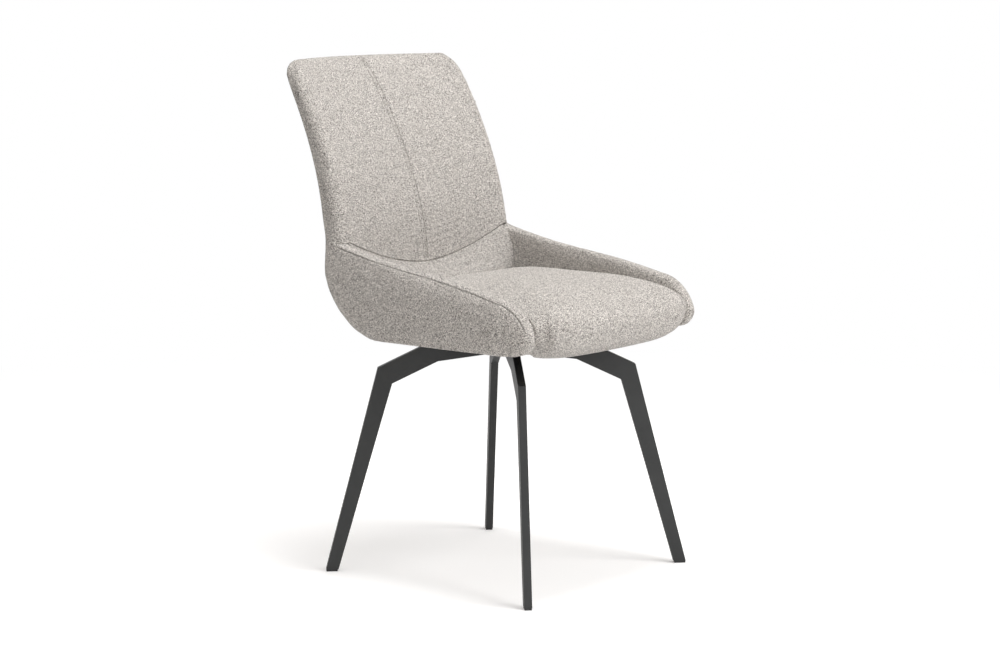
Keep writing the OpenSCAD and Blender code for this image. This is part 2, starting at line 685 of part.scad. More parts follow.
// How far a point of the edge belongs to the back
function rear_part(a) = ease(sin(a) / rear_corner_share);
function edge_z(a) = mix(mix(cushion_side_h, cushion_rear_h, rear_part(a)), cushion_nose_h, nose_part(a));
// Height of the crown before its edges are rounded
function crown_z(a, rho) = cushion_crown_h
    - cushion_crown * rho * rho * (1 - nose_part(a) * nose_crown_share)
    - cushion_front_fall * ease(-sin(a) * rho);
function cushion_top_z(a, rho) = edge_z(a)
    + max(0, crown_z(a, rho) - edge_z(a)) * sqrt(1 - pow(rho, cushion_top_power_share));
function cushion_low_z(a, rho) =
    let (low = belly_h + belly_rise * pow(cos(a) * plan_r(a) * rho / cushion_half_w, 2))
    edge_z(a) - (edge_z(a) - low) * sqrt(1 - pow(rho, cushion_roll_power_share));
function cushion_ring(rho, top) = [for (i = [0:cushion_points - 1])
    let (a = 360 * i / cushion_points - 90, r = plan_r(a) * rho, x = r * cos(a))
    [x, r * sin(a) - cushion_middle
            + cushion_rear_wing * pow(x / cushion_half_w, 2) * rear_part(a) * rho * rho,
        top ? cushion_top_z(a, rho) : cushion_low_z(a, rho)]];
roll_shares = [0.4, 0.66, 0.76, 0.82, 0.87, 0.915, 0.95, 0.98];
crown_shares = [1, 0.985, 0.96, 0.92, 0.86, 0.77, 0.64, 0.47, 0.28, 0.1];

module cushion_blank() {
    skin(concat(
        [for (rho = roll_shares) cushion_ring(rho, false)],
        [for (rho = crown_shares) cushion_ring(rho, true)]), true, true);
}

module seat_cushion() {
    color([0.82, 0.79, 0.76]) placed() difference() {
        cushion_blank();
        board_blank(soft_gap, board_h - belly_h + over);
        translate([-board_half_w, -board_front + board_corner_r, belly_h - over])
            cube([2 * board_half_w, board_front + cushion_rear, board_top + soft_gap - belly_h + over]);
        strap_room();
    }
}

// Seat board: a plate with rounded corners, grown by a gap and lengthened downwards where it cuts

module rounded_plate(half_w, front, rear, front_r, rear_r, h) {
    linear_extrude(height = h) union() {
        for (side = [-1, 1]) {
            translate([side * (half_w - front_r), -front + front_r]) circle(r = front_r, $fn = round_fn);
            translate([side * (half_w - rear_r), rear - rear_r]) circle(r = rear_r, $fn = round_fn);
        }
        translate([-half_w, -front + front_r]) square([2 * half_w, front + rear - front_r - rear_r]);
        translate([-half_w + front_r, -front]) square([2 * (half_w - front_r), 2 * front_r]);
        translate([-half_w + rear_r, rear - 2 * rear_r]) square([2 * (half_w - rear_r), 2 * rear_r]);
    }
}

module board_blank(gap = 0, below = 0) {
    translate([0, 0, board_h - below])
        rounded_plate(board_half_w + gap, board_front + gap, board_rear + gap, board_corner_r + gap,
            board_rear_r + gap, board_t + gap + below);
}

module seat_board() {
    color([0.80, 0.66, 0.46]) placed() difference() {
        board_blank();
        // Room for the rivet's head
        translate([0, 0, board_h - over])
            cylinder(r = rivet_flange_r + over, h = board_t + 2 * over, $fn = round_fn);
        seat_bolt_places() {
            translate([0, 0, board_h - over])
                cylinder(r = tnut_r + turn_gap, h = board_t + 2 * over, $fn = round_fn);
            translate([0, 0, board_top - tnut_flange_t])
                cylinder(r = tnut_flange_r + fit_gap, h = tnut_flange_t + over, $fn = round_fn);
        }
        wing_screw_places()
            cylinder(r = screw_r + turn_gap, h = 2 * wing_screw_len, center = true, $fn = round_fn);
        strap_foot_places() translate([0, 0, -board_t])
            cylinder(r = screw_r + turn_gap, h = board_t + over, $fn = round_fn);
    }
}

module dust_cover() {
    color([0.12, 0.12, 0.12]) placed() translate([0, 0, board_h - fit_gap - dust_t]) difference() {
        rounded_plate(board_half_w - dust_margin, board_front - dust_margin, board_rear - dust_margin,
            board_corner_r - dust_margin / 2, board_rear_r - dust_margin / 2, dust_t);
        translate([0, 0, -over]) linear_extrude(height = dust_t + 2 * over)
            square(swivel_w + 2 * over, center = true);
    }
}

// Wing frames: plywood sides that follow the crest, standing beside the seat board

frame_steps = 10;
frame_x = board_half_w + fit_gap;
function frame_outline(gap) = concat(
    [[frame_rear + gap, board_h + fit_gap - gap],
        [-frame_front + frame_inset - gap, board_h + fit_gap - gap]],
    [for (i = [0:frame_steps]) let (y = mix(-frame_front, frame_rear, i / frame_steps))
        [y + gap * mix(-1, 1, i / frame_steps), crest_z(y) - frame_inset + gap]]);

module frame_blank(gap = 0) {
    translate([frame_x - gap, 0, 0]) rotate([90, 0, 90])
        linear_extrude(height = frame_t + 2 * gap) polygon(frame_outline(gap));
}

module wing_frame() {
    difference() {
        frame_blank();
        wing_screw_places(false) {
            cylinder(r = screw_r + turn_gap, h = 2 * wing_screw_len, center = true, $fn = round_fn);
            translate([0, 0, -screw_head_r])
                cylinder(r1 = 0, r2 = screw_head_r + turn_gap, h = screw_head_r + turn_gap, $fn = round_fn);
        }
    }
}

module left_wing_frame() {
    color([0.80, 0.66, 0.46]) placed() wing_frame();
}

module right_wing_frame() {
    color([0.80, 0.66, 0.46]) placed() mirror([1, 0, 0]) wing_frame();
}

// Screws of the wing frames: the places have +Z pointing out of the frame's outer face
module wing_screw_places(both = true) {
    for (side = both ? [0, 1] : [0], i = [0:wing_screw_count - 1])
        mirror([side, 0, 0])
            translate([frame_x + frame_t,
                wing_screw_run * (i / (wing_screw_count - 1) - wing_screw_middle_share) - board_corner_r,
                board_h + board_t / 2])
                rotate([0, 90, 0]) children();
}

module wing_screws() {
    color([0.75, 0.75, 0.72]) placed() wing_screw_places() {
        translate([0, 0, -wing_screw_len])
            cylinder(r = screw_r, h = wing_screw_len - screw_head_r / 2, $fn = round_fn);
        translate([0, 0, turn_gap - screw_head_r])
            cylinder(r1 = 0, r2 = screw_head_r - turn_gap, h = screw_head_r - turn_gap, $fn = round_fn);
    }
}

// Steel straps from the seat board up the front of the back board

strap_foot_y = board_rear - strap_foot;
function strap_edge_y(z) = board_front_y(strap_x + strap_w / 2, z) - fit_gap;
strap_path = concat(
    [[strap_foot_y, board_top], [board_rear, board_top]],
    [for (z = board_heel_rows) [strap_edge_y(z), z]]);
// Points of the path's other side, strap_t further in along the bisector of each bend
function unit(v) = v / norm(v);
function turned(v) = [-v[1], v[0]];
function offset_point(path, i, t) =
    let (n = len(path),
        a = i > 0 ? unit(path[i] - path[i - 1]) : unit(path[1] - path[0]),
        b = i < n - 1 ? unit(path[i + 1] - path[i]) : a,
        m = unit(turned(a) + turned(b)))
    path[i] + m * t / (m * turned(a));

module strap_blank() {
    inner = [for (i = [len(strap_path) - 1:-1:0]) offset_point(strap_path, i, strap_t)];
    rotate([90, 0, 90]) linear_extrude(height = strap_w, center = true)
        polygon(concat(strap_path, inner));
}

strap_foot_screws = [for (share = foot_screw_shares) strap_foot_y + strap_foot * share];
strap_back_screws = [for (share = upright_screw_shares)
    mix(back_board_low, board_heel_rows[len(board_heel_rows) - 1], share)];

module strap_foot_places() {
    for (side = [-1, 1], y = strap_foot_screws) translate([side * strap_x, y, board_top]) children();
}

// Places on the back board, with +Z pointing out of its front face
module strap_screw_places() {
    for (side = [-1, 1], z = strap_back_screws)
        let (slope = (strap_edge_y(z + over) - strap_edge_y(z - over)) / (2 * over))
        translate([side * strap_x, strap_edge_y(z), z]) rotate([90 - atan(slope), 0, 0]) children();
}

// Room for the feet and the rise of the straps under the cushion
module strap_room() {
    t = strap_t + soft_gap;
    for (side = [-1, 1]) translate([side * strap_x, 0, 0]) rotate([90, 0, 90])
        linear_extrude(height = strap_w + 2 * soft_gap, center = true) polygon([
            [strap_foot_y - soft_gap, board_h], [strap_foot_y - soft_gap, board_top + t],
            offset_point(strap_path, 1, t), offset_point(strap_path, 2, t), [strap_path[2][0], board_h]]);
}

module back_straps() {
    color([0.35, 0.35, 0.36]) placed() difference() {
        for (side = [-1, 1]) translate([side * strap_x, 0, 0]) strap_blank();
        strap_foot_places() strap_hole();
        strap_screw_places() strap_hole();
    }
}

// Hole with a countersink for a flush screw
module strap_hole() {
    translate([0, 0, -over]) cylinder(r = screw_r + bolt_gap, h = strap_t + 2 * over, $fn = round_fn);
    translate([0, 0, strap_t - screw_head_h])
        cylinder(r1 = screw_r + turn_gap, r2 = screw_head_r + turn_gap, h = screw_head_h, $fn = round_fn);
}

module strap_screw() {
    translate([0, 0, -board_t * bite_share])
        cylinder(r = screw_r, h = board_t * bite_share + strap_t, $fn = round_fn);
    translate([0, 0, strap_t - screw_head_h])
        cylinder(r1 = screw_r, r2 = screw_head_r, h = screw_head_h, $fn = round_fn);
}

module strap_screws() {
    color([0.75, 0.75, 0.72]) placed() {
        strap_foot_places() strap_screw();
        strap_screw_places() strap_screw();
    }
}

// Legs: a bent, tapered bar in a vertical plane through the axis

leg_angles = [-45, -135, 45, 135];
foot_in_reach = foot_reach - foot_w;
leg_out_slope = (foot_reach - knee_reach) / knee_h;
leg_in_slope = (foot_in_reach - knee_in_reach) / knee_in_h;
leg_outline = [
    [foot_reach - leg_out_slope * glide_t, glide_t],
    [knee_reach, knee_h],
    [arm_bend_reach, base_top],
    [hub_r, base_top],
    [hub_r, arm_hub_h],
    [arm_low_reach, arm_low_h],
    [knee_in_reach, knee_in_h],
    [foot_in_reach - leg_in_slope * glide_t, glide_t],
];
foot_mid = (foot_reach + foot_in_reach) / 2;

module leg(angle) {
    color([0.16, 0.16, 0.16]) placed() rotate([0, 0, angle]) difference() {
        rotate([90, 0, 0]) linear_extrude(height = leg_t, center = true) polygon(leg_outline);
        foot_plug(fit_gap, plug_slot_depth);
        // Seat of the leg's end on the round hub
        cylinder(r = hub_r, h = base_top + over, $fn = round_fn);
    }
}

// The plug leans with the foot
module foot_plug(gap, len) {
    translate([foot_mid, 0, 0]) rotate([0, -atan((leg_out_slope + leg_in_slope) / 2), 0])
        translate([-plug_w / 2 - gap, -plug_t / 2 - gap, glide_t / 2])
            cube([plug_w + 2 * gap, plug_t + 2 * gap, glide_t / 2 + len]);
}

module foot_glides() {
    color([0.07, 0.07, 0.07]) placed() for (angle = leg_angles) rotate([0, 0, angle]) {
        translate([foot_in_reach + glide_inset, -leg_t / 2 + glide_inset, 0])
            cube([foot_w - 2 * glide_inset - glide_t * leg_out_slope, leg_t - 2 * glide_inset, glide_t]);
        foot_plug(0, plug_len);
    }
}

module base_hub() {
    color([0.16, 0.16, 0.16]) placed() translate([0, 0, arm_hub_h - over]) difference() {
        cylinder(r = hub_r, h = base_top - arm_hub_h + over, $fn = round_fn);
        translate([0, 0, -over])
            cylinder(r = hub_bore_r, h = base_top - arm_hub_h + 3 * over, $fn = round_fn);
    }
}

module square_plate(w, t) {
    r = plate_corner_r;
    linear_extrude(height = t) union() {
        for (x = [-1, 1], y = [-1, 1]) translate([x, y] * (w / 2 - r)) circle(r = r, $fn = round_fn);
        square([w, w - 2 * r], center = true);
        square([w - 2 * r, w], center = true);
    }
}

module base_bolt_places() {
    for (a = [0:90:270]) rotate([0, 0, a]) translate([base_bolt_reach, 0, 0]) children();
}

module base_plate() {
    color([0.16, 0.16, 0.16]) placed() translate([0, 0, base_top]) difference() {
        square_plate(base_plate_w, base_plate_t);
        base_bolt_places() translate([0, 0, -over])
            cylinder(r = bolt_r + bolt_gap, h = base_plate_t + 2 * over, $fn = round_fn);
        translate([0, 0, -over]) cylinder(r = hub_bore_r, h = base_plate_t + 2 * over, $fn = round_fn);
    }
}

// Raised ball race: a ring with a groove that the balls run in
module race() {
    rise = ball_h - ball_r + race_rise_share * ball_r - low_plate_top;
    rotate_extrude($fn = round_fn) difference() {
        translate([race_r - race_w / 2, 0]) square([race_w, rise]);
        translate([race_r, ball_h - low_plate_top]) circle(r = ball_r + turn_gap, $fn = round_fn);
    }
}

module swivel_hole(r) {
    translate([0, 0, -over]) cylinder(r = r, h = swivel_t + 2 * over, $fn = round_fn);
}

module swivel_bottom_plate() {
    color([0.62, 0.63, 0.64]) placed() {
        translate([0, 0, swivel_low]) difference() {
            square_plate(swivel_w, swivel_t);
            base_bolt_places() swivel_hole(bolt_r + bolt_gap);
            swivel_hole(rivet_r + turn_gap);
        }
        translate([0, 0, low_plate_top]) race();
    }
}

module swivel_top_plate() {
    color([0.62, 0.63, 0.64]) placed() {
        translate([0, 0, high_plate_low]) difference() {
            square_plate(swivel_w, swivel_t);
            seat_bolt_places() swivel_hole(bolt_r + bolt_gap);
            swivel_hole(rivet_r + turn_gap);
        }
        translate([0, 0, high_plate_low]) mirror([0, 0, 1]) race();
    }
}

// Centre rivet: a tube fixed in the bottom plate, with a shoulder on it and a head over the top plate
rivet_top = board_h + fit_gap + rivet_flange_t;
module swivel_rivet() {
    color([0.70, 0.70, 0.70]) placed() difference() {
        union() {
            translate([0, 0, swivel_low]) cylinder(r = rivet_r, h = rivet_top - swivel_low, $fn = round_fn);
            translate([0, 0, low_plate_top])
                cylinder(r = rivet_flange_r, h = rivet_flange_t, $fn = round_fn);
            translate([0, 0, rivet_top - rivet_flange_t])
                cylinder(r = rivet_flange_r, h = rivet_flange_t, $fn = round_fn);
        }
        translate([0, 0, swivel_low - over])
            cylinder(r = rivet_bore_r, h = rivet_top - swivel_low + 2 * over, $fn = round_fn);
    }
}

module ball_places() {
    for (i = [0:ball_count - 1])
        rotate([0, 0, 360 * i / ball_count]) translate([race_r, 0, ball_h]) children();
}

module ball_cage() {
    color([0.80, 0.76, 0.52]) placed() difference() {
        translate([0, 0, ball_h - cage_t / 2]) difference() {
            cylinder(r = race_r + cage_w / 2, h = cage_t, $fn = round_fn);
            translate([0, 0, -over])
                cylinder(r = race_r - cage_w / 2, h = cage_t + 2 * over, $fn = round_fn);
        }
        ball_places() cylinder(r = ball_r + turn_gap, h = 2 * cage_t, center = true, $fn = round_fn);
    }
}

module bearing_balls() {
    color([0.80, 0.80, 0.82]) placed() ball_places() sphere(r = ball_r, $fn = round_fn);
}

module base_bolts() {
    color([0.30, 0.30, 0.30]) placed() base_bolt_places() {
        translate([0, 0, base_top - bolt_below])
            cylinder(r = bolt_r, h = low_plate_top - base_top + bolt_below, $fn = round_fn);
        translate([0, 0, low_plate_top])
            cylinder(r1 = bolt_head_r, r2 = bolt_head_r * head_share, h = bolt_head_h, $fn = round_fn);
    }
}

module base_nuts() {
    color([0.62, 0.63, 0.64]) placed() base_bolt_places() translate([0, 0, base_top - nut_h]) difference() {
        cylinder(r = nut_w / 2 / cos(30), h = nut_h, $fn = 6);
        translate([0, 0, -over]) cylinder(r = bolt_r + turn_gap, h = nut_h + 2 * over, $fn = round_fn);
    }
}

module seat_bolt_places() {
    for (x = [-1, 1], y = [-1, 1])
        translate([x * seat_bolt_pitch / 2, y * seat_bolt_pitch / 2, 0]) children();
}

module seat_bolts() {
    color([0.30, 0.30, 0.30]) placed() seat_bolt_places() {
        translate([0, 0, high_plate_low])
            cylinder(r = bolt_r, h = board_t + swivel_t - fit_gap, $fn = round_fn);
        translate([0, 0, high_plate_low - bolt_head_h])
            cylinder(r1 = bolt_head_r * head_share, r2 = bolt_head_r, h = bolt_head_h, $fn = round_fn);
    }
}

module t_nuts() {
    color([0.75, 0.75, 0.72]) placed() seat_bolt_places() difference() {
        union() {
            translate([0, 0, board_h + fit_gap])
                cylinder(r = tnut_r, h = board_t - fit_gap, $fn = round_fn);
            translate([0, 0, board_top - tnut_flange_t])
                cylinder(r = tnut_flange_r, h = tnut_flange_t, $fn = round_fn);
        }
        translate([0, 0, board_h]) cylinder(r = bolt_r + turn_gap, h = board_t + over, $fn = round_fn);
    }
}

leg(leg_angles[0]);  // leg_front_left
leg(leg_angles[1]);  // leg_front_right
leg(leg_angles[2]);  // leg_rear_left
leg(leg_angles[3]);  // leg_rear_right
base_hub();
base_plate();
foot_glides();
swivel_bottom_plate();
base_bolts();
base_nuts();
swivel_rivet();
ball_cage();
bearing_balls();
swivel_top_plate();
seat_bolts();
t_nuts();
seat_board();
dust_cover();
left_wing_frame();
right_wing_frame();
wing_screws();
back_board();
back_straps();
strap_screws();
seat_cushion();
left_wing();
right_wing();
lumbar_band();
backrest_pad();
back_panel();
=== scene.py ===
import json
import math

import bmesh
import bpy
import numpy as np
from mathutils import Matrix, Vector
from mathutils.bvhtree import BVHTree
from mathutils.kdtree import KDTree

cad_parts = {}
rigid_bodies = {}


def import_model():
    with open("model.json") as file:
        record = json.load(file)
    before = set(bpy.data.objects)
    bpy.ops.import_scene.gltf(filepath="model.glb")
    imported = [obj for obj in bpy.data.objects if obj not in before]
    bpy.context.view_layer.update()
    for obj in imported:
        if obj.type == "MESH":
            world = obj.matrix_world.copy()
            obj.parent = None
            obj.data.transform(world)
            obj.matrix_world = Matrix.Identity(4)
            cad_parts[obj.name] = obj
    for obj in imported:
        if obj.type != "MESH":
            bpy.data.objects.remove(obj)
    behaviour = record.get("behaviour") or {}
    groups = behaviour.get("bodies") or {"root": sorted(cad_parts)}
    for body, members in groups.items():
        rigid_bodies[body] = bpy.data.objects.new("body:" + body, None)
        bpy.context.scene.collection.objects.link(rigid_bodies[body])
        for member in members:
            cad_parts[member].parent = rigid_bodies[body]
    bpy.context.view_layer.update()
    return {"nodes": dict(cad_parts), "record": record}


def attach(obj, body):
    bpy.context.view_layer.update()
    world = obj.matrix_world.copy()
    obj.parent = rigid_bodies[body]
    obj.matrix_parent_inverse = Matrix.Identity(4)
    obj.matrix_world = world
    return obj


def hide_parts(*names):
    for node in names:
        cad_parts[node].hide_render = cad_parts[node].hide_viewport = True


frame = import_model()

# Lengths without MM are in metres
MM = 0.001
# The swivel axis stands this far in front of the frame's origin
AXIS_FORWARD = 47 * MM


# ------------------------------------------------------------------ camera

CAMERA_PLACE = (-3383.95 * MM, -2706.02 * MM - AXIS_FORWARD, 1023.27 * MM)
# Points from the chair back to the camera
CAMERA_BACK = (-0.7713, -0.6202, 0.1433)
SENSOR_WIDTH = 36.0
FOCAL_SHARE = 2.63422
NEAREST_SEEN, FARTHEST_SEEN = 0.1, 100


def placed(name, data):
    """A new object in the scene."""
    thing = bpy.data.objects.new(name, data)
    bpy.context.scene.collection.objects.link(thing)
    return thing


def aim(thing, place, way):
    """Stands a camera or a lamp at a place and points it along a direction."""
    thing.location = place
    thing.rotation_mode = "QUATERNION"
    thing.rotation_quaternion = way.to_track_quat("-Z", "Y")


def make_camera():
    data = bpy.data.cameras.new("camera")
    data.sensor_width = SENSOR_WIDTH
    data.lens = SENSOR_WIDTH * FOCAL_SHARE
    data.clip_start, data.clip_end = NEAREST_SEEN, FARTHEST_SEEN
    camera = placed("camera", data)
    aim(camera, CAMERA_PLACE, -Vector(CAMERA_BACK))
    bpy.context.scene.camera = camera


# ------------------------------------------------------------------ shader maths


class Shade:
    """A socket of a finish's node tree. The operators on it add Math nodes."""

    def __init__(self, finish, socket):
        self.finish, self.socket = finish, socket

    def maths(self, operation, other=None, swap=False):
        values = [self] if other is None else [self, other]
        if swap:
            values.reverse()
        return self.finish.node("ShaderNodeMath", {"operation": operation}, *values).out(0)

    def __add__(self, other): return self.maths("ADD", other)
    def __radd__(self, other): return self.maths("ADD", other, swap=True)
    def __sub__(self, other): return self.maths("SUBTRACT", other)
    def __rsub__(self, other): return self.maths("SUBTRACT", other, swap=True)
    def __mul__(self, other): return self.maths("MULTIPLY", other)
    def __rmul__(self, other): return self.maths("MULTIPLY", other, swap=True)
    def __abs__(self): return self.maths("ABSOLUTE")

    def clamp(self):
        return self.maths("MAXIMUM", 0.0).maths("MINIMUM", 1.0)

    def band(self, low, high):
        """0 below low, 1 above high, smooth between."""
        return self.finish.node(
            "ShaderNodeMapRange", {"interpolation_type": "SMOOTHSTEP"}, self, low, high, 0.0, 1.0
        ).out(0)


class Node:
    def __init__(self, finish, node):
        self.finish, self.node = finish, node

    def out(self, name):
        return Shade(self.finish, self.node.outputs[name])


class Finish:
    """A material, or the world, and the nodes that make it."""

    def __init__(self, name, kind="materials"):
        self.owner = getattr(bpy.data, kind).new(name)
        self.owner.use_nodes = True
        self.tree = self.owner.node_tree
        self.tree.nodes.clear()

    def node(self, kind, settings=None, *inputs, numbered=None, **named):
        """A new node: its settings first, then its sockets in order, by number or by name."""
        node = self.tree.nodes.new(kind)
        for key, value in (settings or {}).items():
            if key == "stops":
                for element, (place, colour) in zip(node.color_ramp.elements, value):
                    element.position, element.color = place, colour
            else:
                setattr(node, key, value)
        for key, value in [*enumerate(inputs), *(numbered or {}).items(), *named.items()]:
            socket = node.inputs[key.replace("_", " ") if isinstance(key, str) else key]
            if isinstance(value, Shade):
                self.tree.links.new(value.socket, socket)
            else:
                socket.default_value = value
        return Node(self, node)

    def coordinates(self):
        return self.node("ShaderNodeTexCoord").out("Object")

    def stretched(self, where, scale):
        return self.node("ShaderNodeMapping", {}, Vector=where, Scale=scale).out(0)

    def noise(self, where, scale, detail=2.0, roughness=0.5, distortion=0.0):
        return self.node(
            "ShaderNodeTexNoise", {}, Vector=where, Scale=scale, Detail=detail,
            Roughness=roughness, Distortion=distortion,
        )

    def cells(self, where, scale, feature="F1", randomness=1.0):
        return self.node(
            "ShaderNodeTexVoronoi", {"feature": feature}, Vector=where, Scale=scale,
            Randomness=randomness,
        ).out("Distance")

    def mix(self, share, first, second):
        """A colour between two. The Mix node's colour sockets are its numbers 6 and 7."""
        sockets = {0: share, 6: first, 7: second}
        return self.node("ShaderNodeMix", {"data_type": "RGBA"}, numbered=sockets).out(2)

    def bump(self, height, strength, depth):
        return self.node(
            "ShaderNodeBump", {}, Strength=strength, Distance=depth, Height=height
        ).out("Normal")

    def surface(self, **values):
        """Ends the finish with one principled shader."""
        shader = self.node("ShaderNodeBsdfPrincipled", {}, **values).out(0)
        self.node("ShaderNodeOutputMaterial", {}, Surface=shader)
        return self.owner


def linear(red, green, blue):
    """A colour from the eight-bit values that a picture shows."""
    return tuple(
        (v / 12.92 if v <= 0.04045 else ((v + 0.055) / 1.055) ** 2.4)
        for v in (red / 255, green / 255, blue / 255)
    ) + (1.0,)


def painted_shade_copy(colour, light):
    """The colour scaled by this share: a darker copy of the cloth, as painted shade."""
    return tuple(channel * light for channel in colour[:3]) + (1.0,)


# ------------------------------------------------------------------ finishes

# Loops to the metre, how far they bend, how sharp the curls are and how deep the pile is
LOOP_SCALE = 960.0
LOOP_BEND = 2.2
CURL_SHARPNESS = 3.6
PILE_DEPTH = 1.9 * MM
# How much of the dark colour shows as painted shade in the gaps between loops and along the
# seams, and how cloudy the cloth is
GAP_PAINTED_SHADE, SEAM_PAINTED_SHADE, CLOUD = 0.88, 0.6, 0.12


def boucle(name, tip_highlight, light, mid, dark):
    """Flat boucle: short curled loops about 1 mm long, with a painted highlight on their tips
    and painted shade between them.
    """
    f = Finish(name)
    where = f.coordinates()
    drift = f.noise(where, scale=LOOP_SCALE * 0.5).out("Color")
    bend = (LOOP_BEND / LOOP_SCALE,) * 3
    bent = f.node(
        "ShaderNodeVectorMath", {"operation": "MULTIPLY_ADD"}, drift, bend, where
    ).out(0)
    loops = f.cells(bent, scale=LOOP_SCALE)
    ridge = abs(f.noise(bent, scale=LOOP_SCALE * 0.6, detail=1.0).out(0) * 2.0 - 1.0)
    curls = 1.0 - ridge * CURL_SHARPNESS
    fuzz = f.noise(where, scale=LOOP_SCALE * 2.2, roughness=0.6).out(0)
    tuft = (1.0 - loops * 1.15).clamp() * 0.55 + curls.clamp() * 0.45
    height = tuft * 0.85 + fuzz * 0.2
    cloud = f.noise(where, scale=30.0, detail=3.0).out(0).band(0.3, 0.7)
    gap = 1.0 - tuft.band(0.16, 0.54)
    # The colour follows the loops' height: painted shade in the gaps, lighter up the loops, and
    # a painted highlight on the tips
    base = f.mix(tuft.band(0.3, 0.62), mid, light)
    base = f.mix(tuft.band(0.62, 0.86), base, tip_highlight)
    base = f.mix(gap * GAP_PAINTED_SHADE, base, dark)
    base = f.mix(cloud * CLOUD, base, mid)
    # Painted shade along the seams, read from the seam attribute that sew writes
    seam = f.node("ShaderNodeAttribute", {"attribute_name": "seam"}).out("Fac")
    base = f.mix(seam.clamp() * SEAM_PAINTED_SHADE, base, dark)
    return f.surface(
        Base_Color=base, Roughness=0.86 + gap * 0.1, Specular_IOR_Level=0.2,
        Sheen_Weight=0.15, Sheen_Roughness=0.5,
        Normal=f.bump(height, strength=1.0, depth=PILE_DEPTH),
    )


def thread(name, colour, shade):
    f = Finish(name)
    twist = f.noise(f.coordinates(), scale=900.0).out(0)
    return f.surface(
        Base_Color=f.mix(twist.band(0.35, 0.65), colour, shade), Roughness=0.7 + twist * 0.15,
        Sheen_Weight=0.2, Normal=f.bump(twist, strength=0.4, depth=0.3 * MM),
    )


def powder_coat(name, colour, patchy):
    """A fine orange peel with faint large patches."""
    f = Finish(name)
    where = f.coordinates()
    grain = f.cells(where, scale=1500.0, feature="SMOOTH_F1")
    patch = f.noise(where, scale=18.0, detail=3.0).out(0)
    return f.surface(
        Base_Color=f.mix(patch.band(0.3, 0.7), colour, patchy), Roughness=0.46 + patch * 0.1,
        Specular_IOR_Level=0.42, Normal=f.bump(grain, strength=0.35, depth=0.4 * MM),
    )


def plated(name, light, dark, roughness, spangle=240.0):
    """Zinc or blackened plate: a fine spangle, rubbed smoother here and there."""
    f = Finish(name)
    where = f.coordinates()
    patch = f.noise(where, scale=spangle, detail=4.0, roughness=0.6).out(0)
    rub = f.noise(where, scale=40.0).out(0)
    return f.surface(
        Base_Color=f.mix(patch.band(0.35, 0.7), light, dark), Metallic=1.0,
        Roughness=roughness + rub * 0.16, Normal=f.bump(patch, strength=0.12, depth=0.2 * MM),
    )


def polished(name, colour, shade, roughness):
    f = Finish(name)
    haze = f.noise(f.coordinates(), scale=150.0, detail=3.0).out(0)
    return f.surface(
        Base_Color=f.mix(haze.band(0.4, 0.8), colour, shade), Metallic=1.0,
        Roughness=roughness + haze * 0.08,
    )


def primed(name, colour, shade):
    f = Finish(name)
    patch = f.noise(f.coordinates(), scale=220.0, detail=4.0).out(0)
    return f.surface(
        Base_Color=f.mix(patch.band(0.35, 0.7), colour, shade), Roughness=0.5 + patch * 0.2,
        Normal=f.bump(patch, strength=0.2, depth=0.2 * MM),
    )


def moulded(name, colour, shade):
    """Moulded plastic with fine pits."""
    f = Finish(name)
    where = f.coordinates()
    pits = f.cells(where, scale=900.0)
    cloud = f.noise(where, scale=60.0).out(0)
    return f.surface(
        Base_Color=f.mix(cloud, colour, shade), Roughness=0.5 + pits * 0.3,
        Normal=f.bump(pits, strength=0.25, depth=0.3 * MM),
    )


def plywood(name):
    """Birch ply: long pale grain on the faces, layer lines on the edges."""
    f = Finish(name)
    where = f.coordinates()
    along = f.stretched(where, (60.0, 6.0, 20.0))
    grain = f.noise(along, scale=3.0, detail=5.0, roughness=0.6, distortion=0.6).out(0)
    pores = f.noise(along, scale=22.0).out(0).band(0.62, 0.7)
    layers = f.noise(f.stretched(where, (1.0, 1.0, 600.0)), scale=1.0, detail=0.0).out(0)
    wood = f.mix(grain.band(0.3, 0.7), linear(222, 196, 156), linear(196, 163, 120))
    wood = f.mix(pores * 0.4, wood, linear(150, 116, 80))
    wood = f.mix(layers.band(0.5, 0.62) * 0.25, wood, linear(140, 105, 72))
    return f.surface(
        Base_Color=wood, Roughness=0.6 + grain * 0.2,
        Normal=f.bump(grain, strength=0.2, depth=0.3 * MM),
    )


def dust_cloth(name):
    """Black spunbond: pressed dots in a felted sheet."""
    f = Finish(name)
    where = f.coordinates()
    dots = f.cells(where, scale=420.0, randomness=0.0).band(0.15, 0.4)
    fibres = f.noise(where, scale=700.0, detail=4.0, roughness=0.7).out(0)
    return f.surface(
        Base_Color=f.mix(fibres.band(0.3, 0.7), linear(30, 30, 31), linear(48, 48, 49)),
        Roughness=0.9, Sheen_Weight=0.1,
        Normal=f.bump(dots * 0.7 + fibres * 0.3, strength=0.5, depth=0.4 * MM),
    )


# ------------------------------------------------------------------ fine faces

# Points nearer than this are one point
WELD_DISTANCE = 0.01 * MM
# Edges that turn more than this stay sharp
CREASE_ANGLE = math.radians(35)
SPLIT_ROUNDS, CLOSE_ROUNDS = 7, 5
# The shortest edge that is left, as a share of the longest
SHORTEST_SHARE = 0.45
# How far from a seam its edges are split, step by step, and the shortest edge that is split
SEAM_REACHES = (0.011, 0.009, 0.0075)
SHORTEST_SPLIT = 1.1 * MM
SEAM_SMOOTH_ROUNDS = 12
# Past this many times the first reach the faces beside a seam stay as they are
SEAM_FADE_SHARE = 1.6


def array_of(items, field, width, kind=float):
    flat = np.empty(len(items) * width, dtype=kind)
    items.foreach_get(field, flat)
    return flat.reshape(-1, width)


def points_of(mesh):
    return array_of(mesh.vertices, "co", 3)


def normals_of(mesh):
    return array_of(mesh.vertex_normals, "vector", 3)


def edges_of(mesh):
    return array_of(mesh.edges, "vertices", 2, np.int64)


def set_points(mesh, points):
    mesh.vertices.foreach_set("co", points.astype(np.float32).ravel())
    mesh.update()


